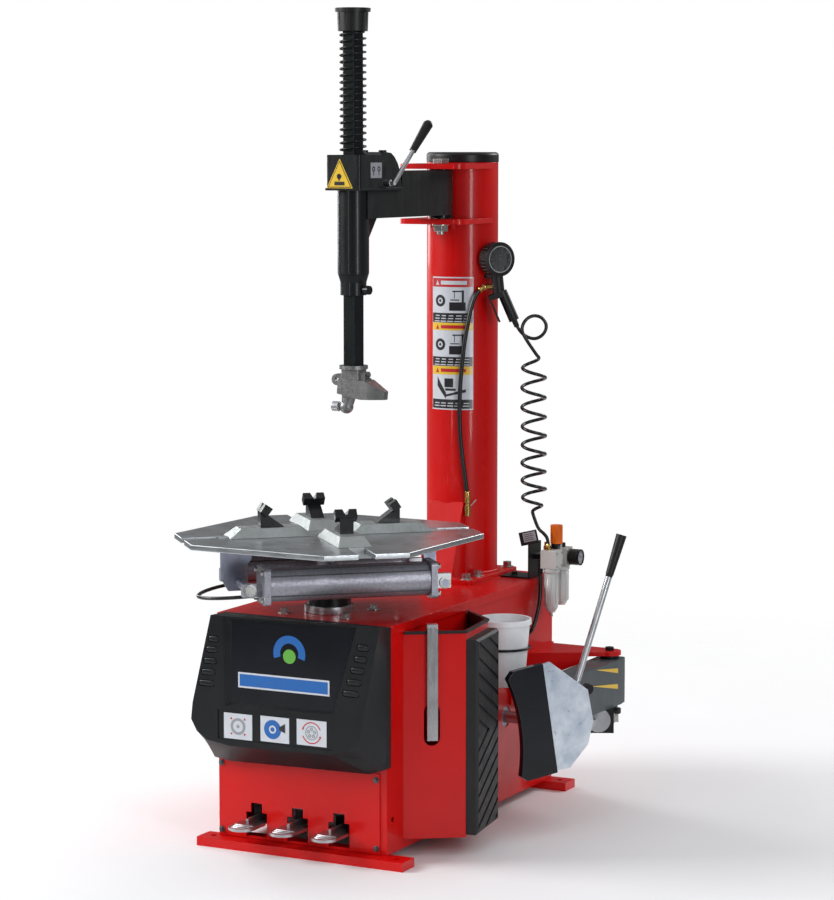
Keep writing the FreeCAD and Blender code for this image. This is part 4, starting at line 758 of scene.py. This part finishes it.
def cover_prints():
    """Three pictogram plates in the strip, and a plain ring and bar on the display field."""
    strip = flat_place(at(0, COVER_Y + STRIP_DEPTH, 0), X, Z)
    plates = Shape()
    for u0, v0, u1, v1 in ((-0.169, 0.2545, -0.098, 0.311), (-0.077, 0.2565, -0.006, 0.3125),
                           (0.013, 0.258, 0.086, 0.314)):
        plates.bar(strip, u0, v0, u1, v1, PLATE)
    plates.piece("pictogram_plates", "base", LABEL_WHITE)
    clamped, spun = (-0.1335, 0.2828), (0.0495, 0.286)
    grey = Shape()
    grey.hoop(strip, *clamped, 0.0125, 0.0185, PRINT)
    grey.hoop(strip, *clamped, 0.0005, 0.004, PRINT, steps=16)
    grey.hoop(strip, *spun, 0.0135, 0.0155, PRINT)
    for turn in range(5):
        hole = around(spun, 0.008, 90 + 72 * turn)
        grey.hoop(strip, *hole, 0.0015, 0.004, PRINT, steps=14)
    grey.piece("pictogram_wheels", "base", LABEL_SILVER)
    blue = Shape()
    blue.hoop(strip, -0.047, 0.2845, 0.009, 0.021, PRINT)
    blue.hoop(strip, -0.047, 0.2845, 0.0004, 0.005, PRINT, steps=16)
    blue.piece("pictogram_tyre", "base", LABEL_BLUE)
    dark = Shape()
    dark.strip(strip, (-0.03, -0.016), (0.285, 0.279), (0.291, 0.2995), (0.0009, 0.0013))
    dark.piece("pictogram_shovel", "base", LABEL_BLACK)
    red = Shape()
    for start in (20, 200):
        red.hoop(strip, *spun, 0.0215, 0.0238, PRINT, start=start, sweep=140, steps=18)
        tip = around(spun, 0.0226, start + 140)
        red.hoop(strip, *tip, PINHOLE, 0.0034, THICK_PRINT, steps=3, start=start + 80)
    for turn in range(4):
        degrees = 45 + 90 * turn
        tip = around(clamped, 0.0235, degrees)
        red.hoop(strip, *tip, PINHOLE, 0.0036, PRINT, start=degrees + 180, steps=3)
    red.piece("pictogram_arrows", "base", LABEL_RED)
    field = flat_place(at(0, COVER_Y + FIELD_DEPTH, 0), X, Z)
    gloss = (0.0, 0.0002)
    sheet = Shape().strip(field, (-0.1555, -0.1505), (0.3335, 0.3335), (0.34, 0.514), gloss)
    sheet.strip(field, (-0.1505, 0.0995), (0.3335, 0.337), (0.514, 0.5195), gloss)
    sheet.strip(field, (0.0995, 0.1515), (0.3375, 0.515), (0.5195, 0.5205), gloss)
    sheet.piece("display_sheet", "base", GLOSS)
    rim = Shape().bar(field, -0.136, 0.368, 0.09, 0.402, (0.0, 0.0003))
    rim.piece("display_bar_rim", "base", LABEL_WHITE)
    emblem = Shape().bar(field, -0.132, 0.372, 0.086, 0.398, (0.0002, 0.0006))
    emblem.hoop(field, -0.008, 0.452, 0.0225, 0.0395, FILM, start=-18, sweep=216, steps=40)
    emblem.piece("display_ring", "base", LABEL_BLUE)
    Shape().hoop(field, -0.008, 0.446, PINHOLE, 0.0155, FILM).piece("display_dot", "base", LABEL_GREEN)


def louvre_pads():
    """Low rounded pads standing in the cover's louvres."""
    face = flat_place(at(0, COVER_Y + LOUVRE_DEPTH, 0), X, Z)
    pads = Shape()
    for x, z, half in LOUVRES:
        profile = []
        for radius, lift in ((0.0068, 0.0), (0.0068, 0.003), (0.0058, 0.0052), (0.0035, 0.0064)):
            outline = [around((x + side * half, z), radius, first + 22.5 * i)
                       for side, first in ((1, -90), (-1, 90)) for i in range(9)]
            profile.append([pads.mesh.verts.new(face(u, v, lift)) for u, v in outline])
        pads.skin(profile)
    pads.piece("louvre_pads", "base", COVER, angle=60)


def lock_prints():
    """A plain triangle on the lock housing's front, and a small plate on its right side."""
    block_out = 0.044
    middle_z = 1.476
    front = flat_place(TOOL_FOOT + ARM_ALONG * block_out + Z * middle_z, ARM_ACROSS, Z)
    for name, material, corners, layer in (
            ("triangle_rim", LABEL_YELLOW, (-0.041, -0.034, 0.027, 0.031), FILM),
            ("triangle_line", LABEL_BLACK, (-0.0375, -0.0322, 0.0235, 0.0265), (0.0004, 0.0008)),
            ("triangle_field", LABEL_YELLOW, (-0.035, -0.0307, 0.021, 0.0232), (0.0007, 0.0011))):
        Shape().triangle(front, *corners, layer).piece(name, "arm", material)
    top = (0.001, 0.0014)
    mark = Shape().bar(front, -0.02, -0.0275, 0.006, -0.0195, top)
    mark.hoop(front, -0.008, -0.008, PINHOLE, 0.006, top, steps=20)
    mark.bar(front, -0.0095, -0.018, -0.0065, -0.006, top)
    mark.piece("triangle_mark", "arm", LABEL_BLACK)
    side = flat_place(TOOL_FOOT + ARM_ACROSS * block_out + Z * middle_z, -ARM_ALONG, Z)
    Shape().bar(side, 0.002, -0.012, 0.048, 0.022, PLATE).piece("side_plate", "arm", LABEL_SILVER)
    marks = Shape()
    for u in (0.014, 0.036):
        marks.hoop(side, u, 0.008, 0.003, 0.0058, THICK_PRINT, steps=20)
        marks.bar(side, u - 0.001, -0.006, u + 0.001, 0.003, THICK_PRINT)
    marks.piece("side_plate_marks", "arm", LABEL_BLACK)


def arm_arrows():
    """Two long thin wedges painted on the breaker arm's outer face."""
    along = at(0.0493, 0.9988, 0)
    face = flat_place(at(0.4064, 0.0031, 0), along, Z)
    wedges = Shape()
    for start, first, last in ((0.206, 0.3392, 0.3145), (0.186, 0.3045, 0.2775)):
        wedges.strip(face, (start, 0.315), (first, last), (first + 0.001, last + 0.0115), SHEET)
    wedges.piece("arm_wedges", "breaker", LABEL_YELLOW)


# ---------------- small fittings
def cylinder_fittings():
    """Tie bolts, profile ridges, pin nuts and hose fittings of the two clamp cylinders."""
    along = table_point(1, 0, 0) - table_point(0, 0, 0)
    across = table_point(0, 1, 0) - table_point(0, 0, 0)
    rear_cap, front_cap = -0.18, 0.204
    pin_z = 0.59
    nut_profile = [(0, 0.0135), (0.0035, 0.0135), (0.0035, 0.0105), (0.0055, 0.0105)]
    port_profile = [(0, 0.0075), (0.009, 0.0075), (0.009, 0.0058), (0.019, 0.0056), (0.02, 0.0048)]
    ridges, ties, ports = Shape(), Shape(), Shape()
    for side in (-CLAMP_CYL_OFFSET, CLAMP_CYL_OFFSET):
        for degrees in (35, 62, 118, 145, 215, 325):
            start = table_point(-0.166, *around((side, CLAMP_CYL_Z), CLAMP_CYL_R, degrees))
            ridges.turned(start, along, [(0, 0.0016), (0.356, 0.0016)], 8)
        for reach, way in ((rear_cap, -along), (front_cap, along)):
            for da in (-0.03, 0.03):
                for dz in (-0.03, 0.03):
                    ties.bolt(table_point(reach, side + da, CLAMP_CYL_Z + dz), way, 0.011)
        for end in (-1, 1):
            nut = table_point(-0.205, side, pin_z) + across * end * 0.009
            ties.turned(nut, across * end, nut_profile, 28)
        ports.turned(table_point(rear_cap, math.copysign(0.092, side), 0.574), -along, port_profile, 20)
    ridges.piece("cylinder_ridges", "left_slide", DARK_STEEL)
    ties.piece("cylinder_tie_bolts", "left_slide", ZINC, 0.0003)
    ports.piece("cylinder_ports", "left_slide", CHROME)
    eyes = Shape()
    eye_profile = [(0, 0.013), (0.003, 0.013), (0.003, 0.0102), (0.0036, 0.0102)]
    for side in (-CLAMP_CYL_OFFSET, CLAMP_CYL_OFFSET):
        for end in (-1, 1):
            washer = table_point(0.228, side, pin_z) + across * end * 0.0102
            eyes.turned(washer, across * end, eye_profile, 28)
    eyes.piece("rod_eye_washers", "right_slide", ZINC, 0.0003)


def inflator_dial():
    """Ribbed boot, bezel, face, ticks and pointer of the inflator's gauge."""
    axis = at(0.85, -0.527, 0).normalized()
    right = Z.cross(axis)
    centre = at(0.113, 0.303, 1.271)
    boot = Shape()
    ribs = 26
    rib = [(0, 0.0022), (0.021, 0.0022), (0.023, 0.001)]
    for i in range(ribs):
        a = 2 * math.pi * i / ribs
        out = Z * math.sin(a) - right * math.cos(a)
        boot.turned(centre + out * 0.0372 - axis * 0.015, axis, rib, 8)
    rim = [(0, 0.0385), (0.001, 0.0402), (0.0068, 0.0402), (0.0076, 0.0385)]
    boot.turned(centre + axis * 0.0085, axis, rim, 48)
    boot.piece("gauge_boot_ribs", "base", PLASTIC, angle=50)
    face = flat_place(centre + axis * 0.0121, right, Z)
    Shape().hoop(face, 0, 0, PINHOLE, 0.0305, PLATE, steps=40).piece("gauge_face", "base", LABEL_BLACK)
    Shape().hoop(face, 0, 0, 0.029, 0.0315, (0.0, 0.0042), steps=40).piece("gauge_bezel", "base", CHROME)
    ticks = Shape()
    for i in range(31):
        inner = 0.0225 if i % 5 == 0 else 0.0252
        ticks.spoke(centre + axis * 0.0126, right, Z, 225 - 9 * i, inner, 0.0275, 0.0004)
    ticks.piece("gauge_ticks", "base", LABEL_WHITE)
    pointer = Shape().strip(face, (-0.016, 0.004), (-0.0145, 0.0026), (-0.0138, 0.0046), (0.0012, 0.0018))
    pointer.hoop(face, 0, 0, PINHOLE, 0.003, (0.0006, 0.0024), steps=20)
    pointer.piece("gauge_pointer", "base", LABEL_RED)
    lens = Shape().hoop(face, 0, 0, PINHOLE, 0.0292, (0.0034, 0.004), steps=40)
    lens.piece("gauge_lens", "base", GLASS)


def unit_fittings():
    """Gauge face, bowl guards, screws, tag sheet and brass fittings of the air unit."""
    gauge = at(0.286, 0.404, 0.566)
    face = flat_place(gauge, Y, Z)
    dial = Shape().hoop(face, 0, 0, PINHOLE, 0.0158, (0.0, 0.0004))
    dial.piece("unit_gauge_face", "base", LABEL_SILVER)
    rim = Shape().hoop(face, 0, 0, 0.0155, 0.0192, (-0.001, 0.0022), steps=40)
    rim.piece("unit_gauge_rim", "base", GLOSS)
    marks = Shape()
    for i in range(9):
        marks.spoke(gauge, Y, Z, 220 - 32 * i, 0.0115, 0.0145, 0.0007)
    marks.strip(face, (-0.008, 0.002), (0.006, -0.002), (0.007, 0.0), (0.0004, 0.001))
    marks.piece("unit_gauge_marks", "base", LABEL_BLACK)
    collar = [(0, 0.0172), (0.002, 0.0192), (0.009, 0.0192), (0.011, 0.0172)]
    head = [(0, 0.0026), (0.0012, 0.0026), (0.0018, 0.0018)]
    guards, screws = Shape(), Shape()
    for y in (0.346, 0.404):
        centre = at(0.238, y, 0)
        guards.turned(centre + Z * 0.534, Z, collar, 40)
        for i in range(8):
            a = math.pi * (i + 0.5) / 4
            out = X * math.cos(a) + Y * math.sin(a)
            guards.turned(centre + out * 0.016 + Z * 0.462, Z, [(0, 0.0014), (0.072, 0.0014)], 8)
        for dy in (-0.013, 0.013):
            for z in (0.551, 0.582):
                screws.turned(at(0.258, y + dy, z), X, head, 16)
    guards.piece("bowl_ribs", "base", CLEAR, angle=50)
    screws.piece("unit_screws", "base", ZINC)
    tilt = math.radians(-14)
    right = at(math.cos(tilt), 0, -math.sin(tilt))
    up = at(math.sin(tilt), 0, math.cos(tilt))
    tag = flat_place(at(0.19, 0.326, 0.6), right, up)
    Shape().bar(tag, -0.012, 0.007, 0.021, 0.029, FILM).piece("tag_sheet", "base", LABEL_SILVER)
    lines = Shape()
    pitch = 0.0045
    for row in range(4):
        lines.bar(tag, -0.009, 0.0105 + pitch * row, 0.017 - 0.004 * (row % 2), 0.012 + pitch * row, INK)
    lines.piece("tag_lines", "base", LABEL_BLACK)
    brass = Shape()
    elbow = [(0, 0.0075), (0.008, 0.0075), (0.008, 0.0055), (0.017, 0.0055)]
    brass.turned(at(0.222, 0.352, 0.588), Z, elbow, 6)
    brass.turned(at(0.232, 0.34, 0.594), Z, [(0, 0.0062), (0.006, 0.0062), (0.009, 0.0048)], 6)
    brass.piece("unit_brass", "base", BRASS, 0.0004)


def hose_fittings():
    """Ferrules and sleeves where the hoses are pushed on."""
    brass, black = Shape(), Shape()
    start, end = WHIP_ROUTE[0], WHIP_ROUTE[-1]
    ahead = WHIP_ROUTE[1] - start
    ferrule = [(0, 0.0062), (0.005, 0.0062), (0.005, 0.0072), (0.011, 0.0072), (0.0125, 0.0058)]
    brass.turned(start - ahead.normalized() * 0.004, ahead, ferrule, 12)
    brass.turned(end - Z * 0.001, Z, [(0, 0.0066), (0.011, 0.0066), (0.0125, 0.0056)], 24)
    brass.piece("whip_ferrules", "base", BRASS, 0.0003)
    for route in (LEAD_TOP, SUPPLY_ROUTE):
        point, towards = Vector(route[0]), Vector(route[1])
        black.turned(point, towards - point, [(0, 0.0066), (0.014, 0.0062), (0.016, 0.0054)], 20)
    black.piece("hose_sleeves", "base", PLASTIC)


def weld_bead(shape, points, radius):
    """Overlapping flattened drops along a line, as a hand weld leaves."""
    drop = [(along * radius, across * radius)
            for along, across in ((-1, 0.3), (-0.5, 0.85), (0.3, 1), (1, 0.4))]
    for a, b in zip(points, points[1:]):
        run = b - a
        count = max(2, int(run.length / 0.004))
        for i in range(count):
            shape.turned(a + run * (i / count), run, drop, 10)


def column_weld():
    """Weld round the column's foot."""
    weld = Shape()
    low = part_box("column")[0].z
    steps = 90
    ring = [column_point(360 * i / steps, COLUMN_R + 0.001, low + 0.0015) for i in range(steps + 1)]
    weld_bead(weld, ring, 0.004)
    weld.piece("column_welds", "base", RED, angle=70)


def pedal_ribs():
    """Three raised ribs across the tread of each pedal."""
    for node, body in (("pedal_1", "left_pedal"), ("pedal_2", "middle_pedal"), ("pedal_3", "right_pedal")):
        low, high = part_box(node)
        x = (low.x + high.x) / 2
        ribs = Shape()
        for step in range(3):
            y = low.y + 0.014 + 0.012 * step
            half = 0.018 + 0.003 * step
            rib = [(0, 0.0004), (0.002, 0.0016), (2 * half - 0.002, 0.0016), (2 * half, 0.0004)]
            ribs.turned(at(x - half, y, PEDAL_TREAD), X, rib, 12)
        ribs.piece(node + "_ribs", body, STEEL, angle=50)


def return_spring():
    """The coil spring round the tool shaft, at the length of the frame's spring."""
    low, high = (corner.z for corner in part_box("return_spring"))
    rise = high - low - 2 * SPRING_WIRE_R
    coil = Shape()
    rings = []
    steps = SPRING_TURNS * 30
    for i in range(steps + 1):
        a = 2 * math.pi * SPRING_TURNS * i / steps
        out = X * math.cos(a) + Y * math.sin(a)
        centre = TOOL_FOOT + out * SPRING_R + Z * (low + SPRING_WIRE_R + rise * i / steps)
        rings.append([coil.mesh.verts.new(centre + (out * math.cos(b) + Z * math.sin(b)) * SPRING_WIRE_R)
                      for b in (math.pi * k / 5 for k in range(10))])
    made = coil.skin(rings).piece("return_spring_coil", None, BLACK, angle=60)
    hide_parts("return_spring")
    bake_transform(made)


def blade_fittings():
    """Round black knuckle at the handle's foot, the handle's bright tube, and the collar under its grip."""
    knuckle = Shape()
    boss = at(0.4632, 0.0501, 0.328)
    drum = [(0, 0.0105), (0.002, 0.0125), (0.014, 0.0125), (0.016, 0.0105)]
    knuckle.turned(boss - BLADE_OUT * 0.008, BLADE_OUT, drum, 28)
    knuckle.turned(BLADE_HANDLE, boss - BLADE_HANDLE, [(0, 0.0055), (0.02, 0.0055)], 16)
    knuckle.piece("handle_knuckle", "blade", PLASTIC)
    tube_r = 0.0074
    tube = Shape().turned(BLADE_HANDLE + BLADE_LEAN * 0.012, BLADE_LEAN, [(0, tube_r), (0.262, tube_r)], 36)
    tube.piece("handle_tube", "blade", CHROME)
    collar_foot = BLADE_HANDLE + BLADE_LEAN * 0.272
    collar = Shape().turned(collar_foot, BLADE_LEAN, [(0, 0.0078), (0.006, 0.0086)], 24)
    collar.piece("handle_collar", "blade", PLASTIC)


for build in (column_label, cover_prints, louvre_pads, lock_prints, arm_arrows, cylinder_fittings,
              inflator_dial, unit_fittings, hose_fittings, column_weld, pedal_ribs, return_spring,
              blade_fittings):
    build()


# ---------------- floor, light and camera
FLOOR_R = 14
# distances from the middle where the floor starts to fade and where it is gone
FLOOR_FADE = (0.9, 3.0)
SURROUND_STRENGTH = 0.8
# brightness of the surroundings from straight down (0) to straight up (1)
SURROUND_BANDS = ((0.44, 0.3), (0.53, 0.12), (0.7, 0.16), (0.84, 0.7))
WHITE_LIGHT = (1, 1, 1)
COOL_LIGHT = (0.95, 0.97, 1)
# each light: name, place, target, size, power in watts, tint
LIGHTS = (("key", (-4.2, -2.5, 3.1), (0, 0, 0.8), (2.4, 2.4), 270, WHITE_LIGHT),
          ("fill", (3.8, -2.4, 1.6), (0.1, 0, 0.6), (0.7, 2.6), 60, COOL_LIGHT),
          ("rim", (1.8, 3.6, 3.0), (0, 0, 0.9), (2.2, 1.4), 80, WHITE_LIGHT),
          ("left", (-3.2, 1.6, 2.2), (0, 0, 0.8), (1.2, 2.4), 50, WHITE_LIGHT),
          ("front", (-0.6, -4.8, 1.4), (0, 0, 0.6), (0.3, 2.2), 16, WHITE_LIGHT))
CAMERA_PLACE = (2.9601, -5.6302, 1.5484)
CAMERA_PITCH = 6.296
CAMERA_TURN = 27.254
CAMERA_LENS = 112.56


def floor():
    """A pale disc that fades out before its rim."""
    mesh = bmesh.new()
    bmesh.ops.create_circle(mesh, cap_ends=True, radius=FLOOR_R, segments=96)
    data = bpy.data.meshes.new("floor")
    mesh.to_mesh(data)
    mesh.free()
    made = placed("floor", data)
    finish = Finish("floor_paint", (0.8, 0.8, 0.81), 0.6)
    finish.vary(finish.noise(0.5, 5), 0.3, 0.7, 0.55, 0.68)
    length = finish.tree.nodes.new("ShaderNodeVectorMath")
    length.operation = "LENGTH"
    finish.tree.links.new(finish.place, length.inputs[0])
    finish.link(finish.remap(length.outputs["Value"], *FLOOR_FADE, 1.0, 0.0), "Alpha")
    data.materials.append(finish.material)


def soft_light(name, place, target, size, power, tint):
    light = bpy.data.lights.new(name, "AREA")
    light.shape = "RECTANGLE"
    light.size, light.size_y = size
    light.energy = power
    light.color = tint
    holder = placed(name, light)
    holder.location = place
    holder.rotation_euler = (Vector(target) - Vector(place)).to_track_quat("-Z", "Y").to_euler()


def studio():
    """White behind the object; softer, banded surroundings light it and show in its paint."""
    world = bpy.data.worlds.new("studio")
    world.use_nodes = True
    tree = world.node_tree
    coords = tree.nodes.new("ShaderNodeTexCoord")
    split = tree.nodes.new("ShaderNodeSeparateXYZ")
    ramp = tree.nodes.new("ShaderNodeValToRGB")
    stops = ramp.color_ramp
    stops.elements[0].position, stops.elements[0].color = 0.0, (0.5, 0.5, 0.5, 1)
    stops.elements[1].position, stops.elements[1].color = 1.0, (1.0, 1.0, 1.02, 1)
    for place, level in SURROUND_BANDS:
        stops.elements.new(place).color = (level, level, level * 1.02, 1)
    shift = tree.nodes.new("ShaderNodeMapRange")
    shift.inputs["From Min"].default_value = -1
    tree.links.new(coords.outputs["Generated"], split.inputs["Vector"])
    tree.links.new(split.outputs["Z"], shift.inputs["Value"])
    tree.links.new(shift.outputs["Result"], ramp.inputs["Fac"])
    surround = tree.nodes["Background"]
    tree.links.new(ramp.outputs["Color"], surround.inputs["Color"])
    surround.inputs["Strength"].default_value = SURROUND_STRENGTH
    behind = tree.nodes.new("ShaderNodeBackground")
    behind.inputs["Color"].default_value = (1.0, 1.0, 1.0, 1)
    path = tree.nodes.new("ShaderNodeLightPath")
    choose = tree.nodes.new("ShaderNodeMixShader")
    tree.links.new(path.outputs["Is Camera Ray"], choose.inputs["Fac"])
    tree.links.new(surround.outputs["Background"], choose.inputs[1])
    tree.links.new(behind.outputs["Background"], choose.inputs[2])
    tree.links.new(choose.outputs["Shader"], tree.nodes["World Output"].inputs["Surface"])
    bpy.context.scene.world = world
    bpy.context.scene.view_settings.view_transform = "Standard"
    for light in LIGHTS:
        soft_light(*light)


def camera():
    """A long lens, from the front and right and a little above."""
    data = bpy.data.cameras.new("camera")
    data.lens = CAMERA_LENS
    data.sensor_width = 36
    data.clip_end = 60
    holder = placed("camera", data)
    holder.location = CAMERA_PLACE
    holder.rotation_euler = (math.radians(90 - CAMERA_PITCH), 0, math.radians(CAMERA_TURN))
    bpy.context.scene.camera = holder


floor()
studio()
camera()
